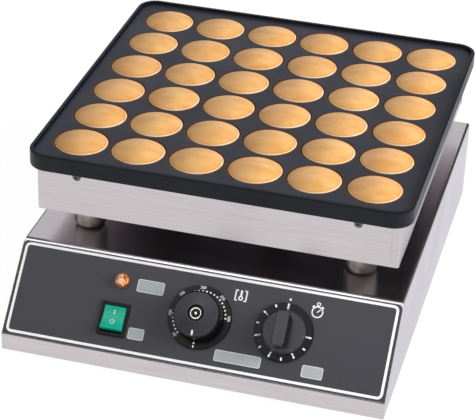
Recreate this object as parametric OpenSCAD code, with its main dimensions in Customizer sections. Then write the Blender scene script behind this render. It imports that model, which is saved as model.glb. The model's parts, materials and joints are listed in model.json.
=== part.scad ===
// Countertop pancake maker: a cupped griddle plate on a heater box, carried on four posts
// by a stainless cabinet with a sloping control panel. Millimetres, +Z up, front towards -Y,
// origin on the standing surface under the middle of the bounding box.

/* [Cabinet] */
// Width of the cabinet from side to side
cabinet_w = 353; // [335:1:420]
// Depth of the cabinet from the front strip to the rear cover
cabinet_d = 414; // [405:1:460]
// Height of the deck above the cabinet's lower edge
cabinet_h = 81.5; // [76:0.5:110]
// Height of the upright strip under the sloping panel
lip_h = 16.5; // [13:0.5:22]
// Distance that the sloping panel leans back
slope_run = 64; // [58:1:74]
// Thickness of the folded stainless sheet
sheet_t = 1.2; // [0.8:0.1:2]
// Outside radius of the sheet's folds
fold_r = 3; // [2.5:0.1:5]
// Outside radius of the bend between the panel and the deck
deck_bend_r = 6; // [3:0.5:8]
// Outside radius of the bend between the front strip and the panel
lip_bend_r = 1.8; // [1.6:0.1:4]
// Width of the turned-in flanges that the covers screw to
flange_w = 14; // [12:1:18]

/* [Covers] */
// Thickness of the rear and bottom covers
cover_t = 1.2; // [0.8:0.1:2]
// Distance from a cover's corners to the nearest screws
cover_screw_inset = 24; // [20:1:32]
// Spacing of the two middle screws in the rear cover's upper and lower edges
cover_screw_span = 160; // [100:1:220]
// Length of a vent slot
slot_l = 34; // [20:1:50]
// Width of a vent slot
slot_w = 4; // [3:0.5:6]
// Spacing of the vent slots
slot_pitch = 10; // [8:0.5:12]
// Vent slots in one column
slots = 4; // [2:1:4]
// Distance of a column of vent slots from the middle of its cover
vent_x = 40; // [36:1:60]
// Distance from the cabinet's front to the vents in the bottom cover
bottom_vent_back = 200; // [150:1:240]

/* [Feet] */
// Height of the rubber feet under the cabinet
foot_h = 5; // [4.5:0.5:12]
// Diameter of a foot at its top
foot_d = 24; // [20:1:36]
// How much a foot narrows towards the floor, all round
foot_taper = 1.5; // [0.5:0.5:3]
// Distance from the cabinet's outside to the middle of a foot
foot_inset = 38; // [34:1:60]

/* [Griddle plate] */
// Cups along each side of the plate
cups = 6; // [4:1:6]
// Spacing of the cups
cup_pitch = 54.25; // [52:0.25:58]
// Diameter of a cup at the plate's surface
cup_d = 50.5; // [44:0.5:51]
// Depth of a cup
cup_depth = 9; // [6:0.5:10]
// Distance from the outermost cups to the plate's edge
rim_margin = 15; // [12:0.5:20]
// Thickness of the plate under its flat surface
plate_t = 13; // [12.5:0.5:18]
// Height of the rim above the flat surface
rim_h = 3; // [2:0.5:6]
// Width of the rim
rim_w = 4; // [3:0.5:7]
// Outside radius of the plate's corners
plate_corner_r = 19; // [10:1:24]
// How far the plate's middle lies behind the deck's middle
plate_shift = 2; // [0:0.5:8]

/* [Pancakes] */
// Diameter of a pancake
pancake_d = 48; // [40:0.5:48.5]
// Height of a pancake's middle above the plate's flat surface
pancake_crown = 5.25; // [1:0.25:6.5]
// Height of a pancake's edge above the plate's flat surface
pancake_edge = 0.4; // [0.25:0.05:0.8]

/* [Heater box] */
// How far the plate stands out over the box, all round
plate_overhang = 9; // [6:0.5:14]
// Height of the heater box
box_h = 44; // [40:1:60]
// Thickness of the heater box's sheet
box_t = 1; // [0.8:0.1:1.5]
// Outside radius of the heater box's upright corners
box_corner_r = 2.5; // [2:0.1:5]
// Thickness of the fibre insulation on the box's floor
blanket_t = 17; // [10:1:18]
// Thickness of the heat reflector
reflector_t = 0.8; // [0.5:0.1:1.2]
// Distance of the plate's fixing lugs from its middle line
lug_x = 129; // [110:1:134]
// Width of a fixing lug
lug_w = 14; // [12:1:18]
// Thickness of a fixing lug
lug_t = 9; // [7:0.5:10]
// Depth of a fixing lug below the plate
lug_h = 13; // [12:1:18]
// Depth of the lug's screw below the plate
lug_screw_drop = 5; // [4.5:0.5:7]

/* [Heating elements] */
// Diameter of a tubular heating element
element_d = 8; // [6.5:0.5:9]
// How far the straight legs reach in front of the plate's middle
leg_front = 115; // [105:1:118]
// How far the straight legs reach behind the plate's middle
leg_back = 122; // [115:1:128]
// Diameter of an element's terminal pin
pin_d = 4; // [3:0.5:5]
// Length of an element's terminal pin
pin_l = 14; // [10:1:16]
// Width of a clamp bar
bar_w = 18; // [14:1:24]
// Thickness of a clamp bar
bar_t = 3; // [2:0.5:4]
// Distance of the clamp bars from the plate's middle
bar_y = 60; // [45:1:64]
// How far a clamp bar runs past the outermost legs
bar_overrun = 15; // [8:1:18]
// Diameter of the bosses that the clamp bars are screwed to
boss_d = 14; // [12:1:18]
// Length of the thermostat's sensing bulb
bulb_l = 147; // [145:1:150]

/* [Spacer posts] */
// Diameter of a spacer post
post_d = 30; // [20:1:34]
// Height of a spacer post
post_h = 27; // [18:1:45]
// Distance from the heater box's side walls to a post's axis
post_side_inset = 39; // [30:1:48]
// Distance from the heater box's front and rear walls to a post's axis
post_end_inset = 33; // [26:1:48]
// Radius of a post's rounded lower edge
post_round = 3.5; // [1:0.5:5]
// Thread diameter of the post bolts
post_bolt_d = 8; // [6:1:10]
// Outside diameter of the wire conduit
conduit_d = 24; // [22:1:30]
// Bore of the wire conduit
conduit_bore = 18; // [17:0.5:20]
// Distance of the wire conduit behind the plate's middle
conduit_back = 95; // [88:1:100]

/* [Control panel] */
// Thickness of the printed overlay film
overlay_t = 0.5; // [0.3:0.1:1]
// Distance from the panel's side edges to the overlay
overlay_margin = 0.5; // [0.3:0.1:3]
// Distance from the panel's bends to the overlay
overlay_bend_gap = 0.3; // [0.2:0.1:2]
// Radius of the overlay's upper corners, clear of the deck's folds
overlay_top_r = 4.5; // [3:0.5:8]
// Radius of the overlay's lower corners
overlay_low_r = 1; // [0.5:0.5:8]
// Spacing of the three columns of controls
dial_spacing = 77; // [72:1:90]
// Height of the dials up the panel's slope
dial_s = 46; // [42:1:50]

/* [Rocker switch] */
// Height of the switch up the panel's slope
switch_s = 30.6; // [26:0.1:33]
// Width of the switch's bezel
bezel_w = 26; // [25:0.5:30]
// Length of the switch's bezel
bezel_l = 30.5; // [30:0.5:34]
// Height of the switch's bezel
bezel_h = 2; // [1.5:0.5:3]
// Width of the rocker
rocker_w = 20; // [16:0.5:20.5]
// Length of the rocker
rocker_l = 21.6; // [18:0.2:22]
// Tilt of the rocker to either side
rocker_tilt = 11; // [8:0.5:12]
// Thickness of the switch body's side walls
switch_wall = 0.8; // [0.6:0.1:1.2]
// Depth of the switch's body behind the panel
switch_depth = 20; // [16:1:24]

/* [Pilot lamp] */
// Height of the lamp up the panel's slope
lamp_s = 66.5; // [62:0.5:72]
// Diameter of the lamp's flange
lamp_flange_d = 15; // [14:0.5:18]
// Diameter of the lens dome
lens_d = 12.6; // [10:0.2:13.6]
// Height of the lens dome
lens_h = 5.5; // [3:0.5:8]
// Diameter of the lamp's barrel
lamp_barrel_d = 9.8; // [8:0.1:11]
// Depth of the lamp's barrel behind the panel
lamp_depth = 20; // [14:1:24]

/* [Thermostat] */
// Diameter of the fixed scale ring
scale_d = 58; // [52:1:64]
// Thickness of the scale ring
scale_t = 2.5; // [1.5:0.5:4]
// Diameter of the thermostat knob at its foot
knob_d = 44; // [42:0.5:48]
// Height of the knob's side wall
knob_side_h = 12.5; // [10:0.5:16]
// Height of the knob at its middle
knob_h = 17.5; // [16.5:0.5:22]
// Draft of the knob's side wall
knob_draft = 0.8; // [0.2:0.1:1.5]
// Wall thickness of the knobs
knob_wall = 2.4; // [1.8:0.1:3]
// Diameter of the bright badge in the knob
badge_d = 10.6; // [8:0.2:15]
// Thickness of the badge
badge_t = 1.5; // [1:0.1:2.5]
// Side of the thermostat's body
thermostat_w = 44; // [40:1:50]
// Depth of the thermostat's body
thermostat_depth = 28; // [24:1:32]

/* [Timer] */
// Diameter of the timer knob's scale skirt
skirt_d = 53; // [48:1:58]
// Thickness of the scale skirt
skirt_t = 2.6; // [2:0.1:4]
// Diameter of the knob's shoulder at the skirt
shoulder_d = 42; // [38:1:44]
// Diameter of the knob's shoulder at its top
shoulder_top_d = 35; // [33:0.5:37]
// Height of the shoulder above the skirt
shoulder_h = 6; // [5:0.5:9]
// Width of the bar grip
grip_w = 12; // [9:0.5:15]
// Length of the bar grip
grip_l = 31; // [24:0.5:32]
// Height of the bar grip above the shoulder
grip_h = 12; // [8:0.5:16]
// Side of the timer's body
timer_w = 42; // [38:1:48]
// Depth of the timer's body
timer_depth = 30; // [24:1:34]

/* [Control fittings] */
// Diameter of the control spindles
spindle_d = 6; // [5:0.5:7]
// How far the spindles reach behind the panel
spindle_back = 14; // [10:1:18]
// Diameter of the controls' threaded bushes
bush_d = 9; // [8:0.5:10]
// Thickness of the controls' brackets
bracket_t = 2; // [1.5:0.5:3]
// Spacing of the two screws that hold a control
control_screw_span = 28; // [24:1:29]
// Thread diameter of the small screws
small_screw_d = 4; // [3:0.5:4]

/* [Mains entry] */
// Distance from the cabinet's side to the gland's axis
gland_side = 65; // [50:1:85]
// Height of the gland's axis above the cabinet's lower edge
gland_up = 30; // [26:1:45]
// Bore of the gland
gland_bore = 9; // [6:0.5:11]
// Diameter of the gland's thread
gland_thread_d = 20; // [18:0.5:22]
// How far the gland stands out behind the cover
gland_reach = 22; // [16:1:30]
// How far the gland's thread runs in behind the cover
gland_in = 9; // [8:0.5:12]
// Length of the terminal block
block_l = 46; // [44:1:60]
// Depth of the terminal block
block_d = 22; // [18:1:28]
// Height of the terminal block
block_h = 18; // [15:1:24]
// Distance of the terminal block to the side of the cabinet's middle
block_side = 60; // [45:1:80]
// Distance from the cabinet's back to the middle of the terminal block
block_inset = 88; // [80:1:110]
// Distance from the terminal block to the earth screw in front of it
earth_inset = 45; // [35:1:60]
// Spacing of the block's poles
pole_pitch = 14; // [12:0.5:14]
// Outside diameter of the block's brass inserts
insert_d = 7; // [5:0.5:8]

/* [Wiring] */
// Diameter of a wire
wire_d = 2.6; // [2:0.1:3]
// Diameter of the capillary tube
capillary_d = 2; // [1.5:0.1:2.5]
// How far the links and leads run past the elements' pins before they turn
link_reach = 9; // [7:0.5:12]

/* [Fits] */
// Radial running clearance of spindles and pivots
run_gap = 0.05; // [0.02:0.01:0.1]
// Radial clearance of a screw or bolt in its hole
hole_gap = 0.15; // [0.1:0.05:0.3]
// Clearance between neighbouring pieces
part_gap = 0.3; // [0.2:0.05:0.6]
// Clearance between a pancake and its cup
pancake_gap = 0.4; // [0.3:0.05:1]

/* [Hidden] */
$fn = 64;

// How far a cutting shape runs past the face that it cuts
through = 1;
// How deep two joined shapes of one piece reach into each other
bite = 0.5;

// Heights
cab_z = foot_h;
floor_z = cab_z + cover_t;
lip_z = cab_z + lip_h;
deck_z = cab_z + cabinet_h;
box_z = deck_z + post_h;
plate_z = box_z + box_h;
land_z = plate_z + plate_t;
rim_z = land_z + rim_h;
blanket_z = box_z + box_t;
reflector_z = blanket_z + blanket_t;

// Widths and places along the depth
inner_w = cabinet_w - 2 * sheet_t;
window_w = inner_w - 2 * flange_w;
plate_w = (cups - 1) * cup_pitch + cup_d + 2 * rim_margin;
box_w = plate_w - 2 * plate_overhang;
plate_setback = (slope_run + cabinet_d) / 2 + plate_shift;
total_d = max(plate_setback + plate_w / 2, cabinet_d + gland_reach);
front_y = -total_d / 2;
back_y = front_y + cabinet_d;
cover_y = back_y - cover_t;
rear_flange_y = cover_y - sheet_t;
plate_y = front_y + plate_setback;
conduit_y = plate_y + conduit_back;
post_x = box_w / 2 - post_side_inset;
post_dy = box_w / 2 - post_end_inset;
bottom_flange_z = floor_z + sheet_t;
bottom_vent_y = front_y + bottom_vent_back;

// The sloping panel: its angle, its length, the axes of its two bends, and how far those bends
// take from its flat part
slope_rise = cabinet_h - lip_h;
slope_a = atan2(slope_rise, slope_run);
slope_l = norm([slope_run, slope_rise]);
deck_front_y = front_y + slope_run;
lip_take = lip_bend_r * tan((90 - slope_a) / 2);
deck_take = deck_bend_r * tan(slope_a / 2);
lip_bend = [front_y + lip_bend_r, lip_z - lip_take];
deck_bend = [deck_front_y + deck_take, deck_z - deck_bend_r];
bend_steps = 8;
overlay_l = slope_l - lip_take - deck_take - 2 * overlay_bend_gap;
overlay_s = (slope_l + lip_take - deck_take) / 2;

// A cup is part of a sphere, and a pancake's top is part of a much larger one
cup_ball_r = (pow(cup_d / 2, 2) + pow(cup_depth, 2)) / (2 * cup_depth);
crown_rise = pancake_crown - pancake_edge;
crown_ball_r = (pow(pancake_d / 2, 2) + pow(crown_rise, 2)) / (2 * crown_rise);
cup_span = (cups - 1) * cup_pitch;

// Heating elements: hairpins with one leg under each column of cups
hairpins = floor(cups / 2);
element_z = plate_z - part_gap - element_d / 2;
bar_z = plate_z - 2 * part_gap - element_d;
leg_span = (2 * hairpins - 1) * cup_pitch;
pin_end_y = plate_y + leg_back + pin_l;
boss_x = cup_pitch;
bulb_back_y = plate_y + bulb_l / 2;

// Controls on the panel, measured up the slope and outwards from the sheet
switch_x = -dial_spacing;
timer_x = dial_spacing;
rocker_gap_l = 1.4;
cavity_w = rocker_w + 2 * part_gap;
cavity_l = rocker_l + 2 * rocker_gap_l;
switch_w = cavity_w + 2 * switch_wall;
switch_l = cavity_l + 4 * switch_wall;
cutout_gap = 0.2;
pivot_up = -1;
pivot_d = 3;
rocker_up = 6.2;
rocker_dip = 1.8;
rocker_down = 5;
rocker_foot = 2.3;
rocker_waist = 0.5;
cavity_floor = pivot_up - rocker_down - 3.5;
tab_w = 4.8;
tab_t = 0.8;
tab_l = 8;
tab_x = 5;
tab_s = 6;
lamp_flange_t = 1.2;
lamp_nut_t = 4;
lamp_nut_wall = 3;
bush_up = overlay_t + 1.5;
scale_up = overlay_t + scale_t;
knob_up = scale_up + part_gap;
hub_d = spindle_d + 6;
knob_hollow_h = 10;
spindle_up = knob_up + knob_hollow_h;
badge_seat = 2.2;
badge_ring = 2.3;
skirt_up = overlay_t + 2 * part_gap;
timer_hollow_h = skirt_t + shoulder_h - knob_wall;
timer_spindle_up = skirt_up + timer_hollow_h;
control_screw_head_h = 2;
control_screw_head_d = 7;

// Fasteners
screw_head_h = 2.2;
screw_head_d = 7.6;
recess_d = 3;
recess_h = 1.3;
bolt_head_h = 5.3;
bolt_flats = 1.65 * post_bolt_d;
post_nut_h = 6.5;
bolt_end = 3;
clamp_screw_d = 6;
clamp_screw_l = 10;
clamp_head_h = 4;
clamp_head_d = 10;
block_screw_d = 3;
earth_d = 5;
washer_t = 1;
washer_d = 18;
earth_head_h = 4;
earth_head_d = 9;
gland_flats = 24;
gland_flange_t = 5;
locknut_t = 5;

// Places inside the cabinet
block_x = -block_side;
block_y = back_y - block_inset;
pole_z = floor_z + block_h / 2;
earth_x = block_x + pole_pitch;
earth_y = block_y - earth_inset;
lead_out = 9;
tube_run_back = 105;
tube_run_up = 28;
tube_turn = 50;
tube_rise = 6;
switch_run_back = 92;
switch_run_up = 10;
cross_run_back = 72;
lamp_run_back = 130;
lamp_run_up = 38;
lamp_drop_x = 27;
lead_run_up = 13;
lead_turn = 20;
block_turn = 20;
gland_x = cabinet_w / 2 - gland_side;

// Wire and tube routes, eased at their corners
function panel_point(x, s, h) = [
    x,
    front_y + s * cos(slope_a) - h * sin(slope_a),
    lip_z + s * sin(slope_a) + h * cos(slope_a)];
function behind(x, s, h) = [panel_point(x, s, h), panel_point(x, s, h - lead_out)];
function ahead(x, s, h) = [panel_point(x, s, h - lead_out), panel_point(x, s, h)];
function between(a, b, t) = a + (b - a) * t;
function eased(p) = concat([p[0]],
    [for (i = [0:len(p) - 2], t = [0.25, 0.75]) between(p[i], p[i + 1], t)],
    [p[len(p) - 1]]);
function unit(v) = v / norm(v);
function heading(p, i) = unit(
    (i == 0 ? [0, 0, 0] : unit(p[i] - p[i - 1])) +
    (i == len(p) - 1 ? [0, 0, 0] : unit(p[i + 1] - p[i])));
function square_to(t) = abs(t[2]) < 0.9 ? [t[1], -t[0], 0] : [0, t[2], -t[1]];
function carried(n, t) = unit(n - (n * t) * t);
function normals(p, i, n) = let (next = carried(n, heading(p, i)))
    i == len(p) - 1 ? [next] : concat([next], normals(p, i + 1, next));

thermostat_back = -sheet_t - bracket_t - thermostat_depth;
timer_back = -sheet_t - bracket_t - timer_depth;
tab_back = -switch_depth - tab_l;
terminal_dx = 11;
terminal_ds = 8;
block_front_y = block_y - block_d / 2;
block_rear_y = block_y + block_d / 2;
lamp_wire_x = 2.4;
conduit_wire_x = 4.5;
conduit_tube_y = conduit_y - 5;
box_exit_z = reflector_z + reflector_t;
box_run_z = box_exit_z + 5;
link_y = pin_end_y + link_reach;
lead_leg_x = leg_span / 2;

capillary_route = concat(
    behind(0, dial_s + terminal_ds, thermostat_back),
    [[0, front_y + tube_run_back, floor_z + tube_run_up],
     [0, conduit_tube_y - tube_turn, floor_z + tube_run_up],
     [0, conduit_tube_y, floor_z + tube_run_up + tube_rise],
     [0, conduit_tube_y, deck_z],
     [0, conduit_tube_y, box_exit_z],
     [0, conduit_tube_y, box_run_z],
     [0, bulb_back_y + 12, element_z],
     [0, bulb_back_y, element_z]]);
wire_routes = [
    // Terminal block to the switch
    concat([[block_x - pole_pitch, block_front_y, pole_z],
            [block_x - pole_pitch, block_front_y - block_turn, pole_z],
            [switch_x + tab_x, front_y + switch_run_back, floor_z + switch_run_up]],
        ahead(switch_x + tab_x, switch_s + tab_s, tab_back)),
    // Switch to the thermostat
    concat(behind(switch_x + tab_x, switch_s - tab_s, tab_back),
        [[switch_x / 2, front_y + cross_run_back, floor_z + switch_run_up]],
        ahead(-terminal_dx, dial_s - terminal_ds, thermostat_back)),
    // Thermostat to the timer
    concat(behind(terminal_dx, dial_s - terminal_ds, thermostat_back),
        [[timer_x / 2, front_y + cross_run_back, floor_z + switch_run_up]],
        ahead(timer_x - terminal_dx, dial_s - terminal_ds, timer_back)),
    // Lamp to the thermostat
    concat(behind(switch_x + lamp_wire_x, lamp_s, -lamp_depth),
        [[switch_x + lamp_drop_x, front_y + switch_run_back, floor_z + lamp_run_up]],
        ahead(-terminal_dx, dial_s + terminal_ds, thermostat_back)),
    // Lamp to the terminal block
    concat(behind(switch_x - lamp_wire_x, lamp_s, -lamp_depth),
        [[switch_x - lamp_wire_x, front_y + lamp_run_back, floor_z + lamp_run_up],
         [block_x, block_front_y - 2 * block_turn, pole_z],
         [block_x, block_front_y - block_turn, pole_z],
         [block_x, block_front_y, pole_z]]),
    // Terminal block to the earth screw
    [[block_x + pole_pitch, block_front_y, pole_z],
     [block_x + pole_pitch, block_front_y - block_turn, pole_z],
     [earth_x + washer_d / 3, earth_y, floor_z + tube_run_up],
     [earth_x + washer_d / 3, earth_y, floor_z + washer_t]]];
lead_routes = [
    // Timer to the right-hand leg
    concat(behind(timer_x + terminal_dx, dial_s - terminal_ds, timer_back),
        [[timer_x + lead_turn, front_y + switch_run_back, floor_z + lead_run_up],
         [dial_spacing, plate_y, floor_z + lead_run_up],
         [conduit_wire_x, conduit_y, floor_z + lead_turn],
         [conduit_wire_x, conduit_y, deck_z],
         [conduit_wire_x, conduit_y, box_exit_z],
         [conduit_wire_x, conduit_y, box_run_z],
         [lead_leg_x / 2, conduit_y, box_run_z],
         [lead_leg_x, link_y, box_run_z],
         [lead_leg_x, link_y, element_z],
         [lead_leg_x, pin_end_y, element_z]]),
    // Terminal block to the left-hand leg
    [[block_x, block_rear_y, pole_z],
     [block_x, block_rear_y + block_turn, pole_z],
     [-conduit_wire_x, conduit_y, floor_z + lead_turn],
     [-conduit_wire_x, conduit_y, deck_z],
     [-conduit_wire_x, conduit_y, box_exit_z],
     [-conduit_wire_x, conduit_y, box_run_z],
     [-lead_leg_x / 2, conduit_y, box_run_z],
     [-lead_leg_x, link_y, box_run_z],
     [-lead_leg_x, link_y, element_z],
     [-lead_leg_x, pin_end_y, element_z]]];

// Screw places in the covers, as points across each cover
rear_screw_x = window_w / 2 + flange_w / 2;
rear_top_z = deck_z - sheet_t - flange_w / 2;
rear_low_z = floor_z + flange_w / 2;
rear_screws = [for (side = [-1, 1]) each [
    [side * rear_screw_x, cab_z + cover_screw_inset],
    [side * rear_screw_x, deck_z - cover_screw_inset],
    [side * cover_screw_span / 2, rear_top_z],
    [side * cover_screw_span / 2, rear_low_z]]];
bottom_front_y = front_y + sheet_t + flange_w / 2;
bottom_screws = [for (side = [-1, 1]) each [
    [side * rear_screw_x, front_y + flange_w + cover_screw_inset],
    [side * rear_screw_x, front_y + cabinet_d / 2],
    [side * rear_screw_x, cover_y - flange_w - cover_screw_inset],
    [side * cover_screw_span / 2, bottom_front_y]]];
feet = [for (side = [-1, 1], y = [front_y + foot_inset, back_y - foot_inset])
    [side * (cabinet_w / 2 - foot_inset), y]];
posts = [for (sx = [-1, 1], sy = [-1, 1]) [sx * post_x, plate_y + sy * post_dy]];
lugs = [for (sx = [-1, 1], sy = [-1, 1]) [sx, sy]];
lug_y = box_w / 2 - box_t - part_gap - lug_t / 2;
bosses = [for (sx = [-1, 1], sy = [-1, 1]) [sx * boss_x, plate_y + sy * bar_y]];
cup_places = [for (i = [0:cups - 1], j = [0:cups - 1])
    [i * cup_pitch - cup_span / 2, plate_y + j * cup_pitch - cup_span / 2]];

steel = "#c9c6c4";
dark_plastic = "#26262a";

// Shapes that several pieces share

function bend(centre, r, from, to) = [for (i = [0:bend_steps])
    let (a = from + (to - from) * i / bend_steps)
    centre + r * [cos(a), sin(a)]];

module rounded_rect(w, d, r) {
    square([w - 2 * r, d], center = true);
    square([w, d - 2 * r], center = true);
    for (x = [-1, 1], y = [-1, 1])
        translate([x * (w / 2 - r), y * (d / 2 - r)]) circle(r);
}

module slot_shape(l, w) {
    square([l - w, w], center = true);
    for (end = [-1, 1]) translate([end * (l - w) / 2, 0]) circle(d = w);
}

module arch_shape(w, z0, z1, r) {
    translate([-w / 2, z0]) square([w, z1 - z0 - r]);
    translate([-w / 2 + r, z0]) square([w - 2 * r, z1 - z0]);
    for (side = [-1, 1]) translate([side * (w / 2 - r), z1 - r]) circle(r);
}

module box_between(low, high) {
    translate(low) cube(high - low);
}

module along_x(w) {
    translate([-w / 2, 0, 0]) rotate([90, 0, 90]) linear_extrude(w) children();
}

module along_y(y0, y1) {
    translate([0, y1, 0]) rotate([90, 0, 0]) linear_extrude(y1 - y0) children();
}

module on_panel(x, s) {
    translate([0, front_y, lip_z]) rotate([slope_a, 0, 0]) translate([x, s, 0]) children();
}

// A pan-head screw along Z: its head stands on the plane z = 0 and its shank runs down
module screw(d, l, head_d, head_h) {
    difference() {
        union() {
            cylinder(d = head_d, h = head_h * 0.6);
            translate([0, 0, head_h * 0.6]) cylinder(d1 = head_d, d2 = head_d * 0.7, h = head_h * 0.4);
            translate([0, 0, -l]) cylinder(d = d, h = l + head_h / 2);
        }
        translate([0, 0, head_h - recess_h]) cylinder(d = recess_d, h = recess_h + through, $fn = 6);
    }
}

module hex_nut(flats, bore, h) {
    difference() {
        cylinder(d = flats / cos(30), h = h, $fn = 6);
        translate([0, 0, -through]) cylinder(d = bore, h = h + 2 * through);
    }
}

module tube_along(route, d, sides) {
    path = eased(eased(route));
    side = normals(path, 0, square_to(heading(path, 0)));
    points = [for (i = [0:len(path) - 1], k = [0:sides - 1])
        path[i] + d / 2 * (cos(360 * k / sides) * side[i]
            + sin(360 * k / sides) * cross(heading(path, i), side[i]))];
    walls = [for (i = [0:len(path) - 2], k = [0:sides - 1])
        let (a = i * sides + k, b = i * sides + (k + 1) % sides)
        each [[a, a + sides, b], [b, a + sides, b + sides]]];
    last = (len(path) - 1) * sides;
    near_end = [for (k = [1:sides - 2]) [0, k, k + 1]];
    far_end = [for (k = [1:sides - 2]) [last, last + k + 1, last + k]];
    polyhedron(points, concat(walls, near_end, far_end));
}

// Cabinet

// The cabinet seen from the side, drawn inwards by the given depth, with its two bends about their own axes
module bent_profile(depth, back, low) {
    polygon(concat([[front_y + depth, low]],
        bend(lip_bend, lip_bend_r - depth, 180, 90 + slope_a),
        bend(deck_bend, deck_bend_r - depth, 90 + slope_a, 90),
        [[back, deck_z - depth], [back, low]]));
}

// Openings that the controls need, through the sheet and through the overlay
module panel_openings() {
    reach = 8;
    on_panel(switch_x, switch_s) linear_extrude(2 * reach, center = true)
        square([switch_w + 2 * cutout_gap, switch_l + 2 * cutout_gap], center = true);
    on_panel(switch_x, lamp_s)
        cylinder(d = lamp_barrel_d + 2 * cutout_gap, h = 2 * reach, center = true);
    for (x = [0, timer_x]) on_panel(x, dial_s) {
        cylinder(d = bush_d + 2 * part_gap, h = 2 * reach, center = true);
        control_screw_places()
            cylinder(d = small_screw_d + 2 * hole_gap, h = 2 * reach, center = true);
    }
}

module control_screw_places() {
    for (side = [-1, 1]) translate([side * control_screw_span / 2, 0, 0]) children();
}

module cabinet_shell() {
    hole_d = small_screw_d + 2 * hole_gap;
    color(steel) difference() {
        intersection() {
            along_x(cabinet_w) bent_profile(0, back_y, cab_z);
            along_y(front_y - through, back_y + through)
                arch_shape(cabinet_w, cab_z - through, deck_z, fold_r);
        }
        intersection() {
            along_x(inner_w) bent_profile(sheet_t, rear_flange_y, bottom_flange_z);
            along_y(front_y, back_y) arch_shape(inner_w, cab_z, deck_z - sheet_t, fold_r - sheet_t);
        }
        // Recess and window of the bottom cover
        box_between([-inner_w / 2, front_y + sheet_t, cab_z - through],
            [inner_w / 2, back_y + through, floor_z]);
        box_between([-window_w / 2, front_y + sheet_t + flange_w, cab_z - through],
            [window_w / 2, back_y + through, bottom_flange_z + bite]);
        // Recess and window of the rear cover
        box_between([-inner_w / 2, cover_y, cab_z - through],
            [inner_w / 2, back_y + through, deck_z - sheet_t]);
        box_between([-window_w / 2, rear_flange_y - bite, cab_z - through],
            [window_w / 2, back_y + through, deck_z - sheet_t - flange_w]);
        panel_openings();
        for (p = posts) translate([p[0], p[1], deck_z - sheet_t - through])
            cylinder(d = post_bolt_d + 2 * part_gap, h = sheet_t + 2 * through);
        translate([0, conduit_y, deck_z - sheet_t - through])
            cylinder(d = conduit_bore, h = sheet_t + 2 * through);
        for (p = rear_screws) translate([p[0], rear_flange_y - through, p[1]]) rotate([-90, 0, 0])
            cylinder(d = hole_d, h = sheet_t + 2 * through);
        for (p = bottom_screws) translate([p[0], p[1], floor_z - through])
            cylinder(d = hole_d, h = sheet_t + 2 * through);
    }
}

module rear_cover() {
    color(steel) difference() {
        box_between([-inner_w / 2 + part_gap, cover_y, cab_z],
            [inner_w / 2 - part_gap, back_y, deck_z - sheet_t - part_gap]);
        along_y(cover_y - through, back_y + through) {
            for (p = rear_screws) translate(p) circle(d = small_screw_d + 2 * hole_gap);
            translate([gland_x, cab_z + gland_up]) circle(d = gland_thread_d + 2 * hole_gap);
            for (side = [-1, 1], i = [0:slots - 1])
                translate([side * vent_x, (cab_z + deck_z) / 2 + (i - (slots - 1) / 2) * slot_pitch])
                    slot_shape(slot_l, slot_w);
        }
    }
}

module rear_cover_screws() {
    color(steel) for (p = rear_screws) translate([p[0], back_y, p[1]]) rotate([-90, 0, 0])
        screw(small_screw_d, cover_t + sheet_t + 2 * small_screw_d, screw_head_d, screw_head_h);
}

module bottom_cover() {
    hole_d = small_screw_d + 2 * hole_gap;
    color(steel) difference() {
        union() {
            box_between([-inner_w / 2 + part_gap, front_y + sheet_t + part_gap, cab_z],
                [inner_w / 2 - part_gap, cover_y, floor_z]);
            box_between([-window_w / 2 + part_gap, cover_y - cover_t, cab_z],
                [window_w / 2 - part_gap, cover_y, floor_z + flange_w]);
        }
        for (p = rear_screws) translate([p[0], cover_y - cover_t - through, p[1]]) rotate([-90, 0, 0])
            cylinder(d = hole_d, h = cover_t + 2 * through);
        translate([0, 0, cab_z - through]) linear_extrude(cover_t + 2 * through) {
            for (p = bottom_screws) translate(p) circle(d = hole_d);
            for (p = feet) translate(p) circle(d = hole_d);
            for (side = [-1, 1]) translate([block_x + side * (block_l / 2 - block_screw_d), block_y])
                circle(d = block_screw_d + 2 * hole_gap);
            translate([earth_x, earth_y]) circle(d = earth_d + 2 * hole_gap);
            for (side = [-1, 1], i = [0:slots - 1])
                translate([side * vent_x, bottom_vent_y + (i - (slots - 1) / 2) * slot_pitch])
                    slot_shape(slot_l, slot_w);
        }
    }
}

module bottom_cover_screws() {
    color(steel) for (p = bottom_screws) translate([p[0], p[1], cab_z]) rotate([180, 0, 0])
        screw(small_screw_d, cover_t + sheet_t + 2 * small_screw_d, screw_head_d, screw_head_h);
}

module rubber_feet() {
    seat_h = screw_head_h + part_gap;
    color("#232326") for (p = feet) translate([p[0], p[1], 0]) difference() {
        cylinder(d1 = foot_d - 2 * foot_taper, d2 = foot_d, h = foot_h);
        translate([0, 0, -through]) cylinder(d = small_screw_d + 2 * hole_gap, h = foot_h + 2 * through);
        translate([0, 0, -through]) cylinder(d = screw_head_d + 2 * part_gap, h = seat_h + through);
    }
}

module foot_screws() {
    shank_l = foot_h - screw_head_h - part_gap + cover_t + 2 * small_screw_d;
    color(steel) for (p = feet) translate([p[0], p[1], screw_head_h + part_gap]) rotate([180, 0, 0])
        screw(small_screw_d, shank_l, screw_head_d, screw_head_h);
}

// Control panel

module control_overlay() {
    half_w = cabinet_w / 2 - overlay_margin;
    color("#3a3a40") difference() {
        on_panel(0, overlay_s) linear_extrude(overlay_t) hull() for (side = [-1, 1]) {
            translate([side * (half_w - overlay_top_r), overlay_l / 2 - overlay_top_r]) circle(overlay_top_r);
            translate([side * (half_w - overlay_low_r), overlay_low_r - overlay_l / 2]) circle(overlay_low_r);
        }
        panel_openings();
    }
}

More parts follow.
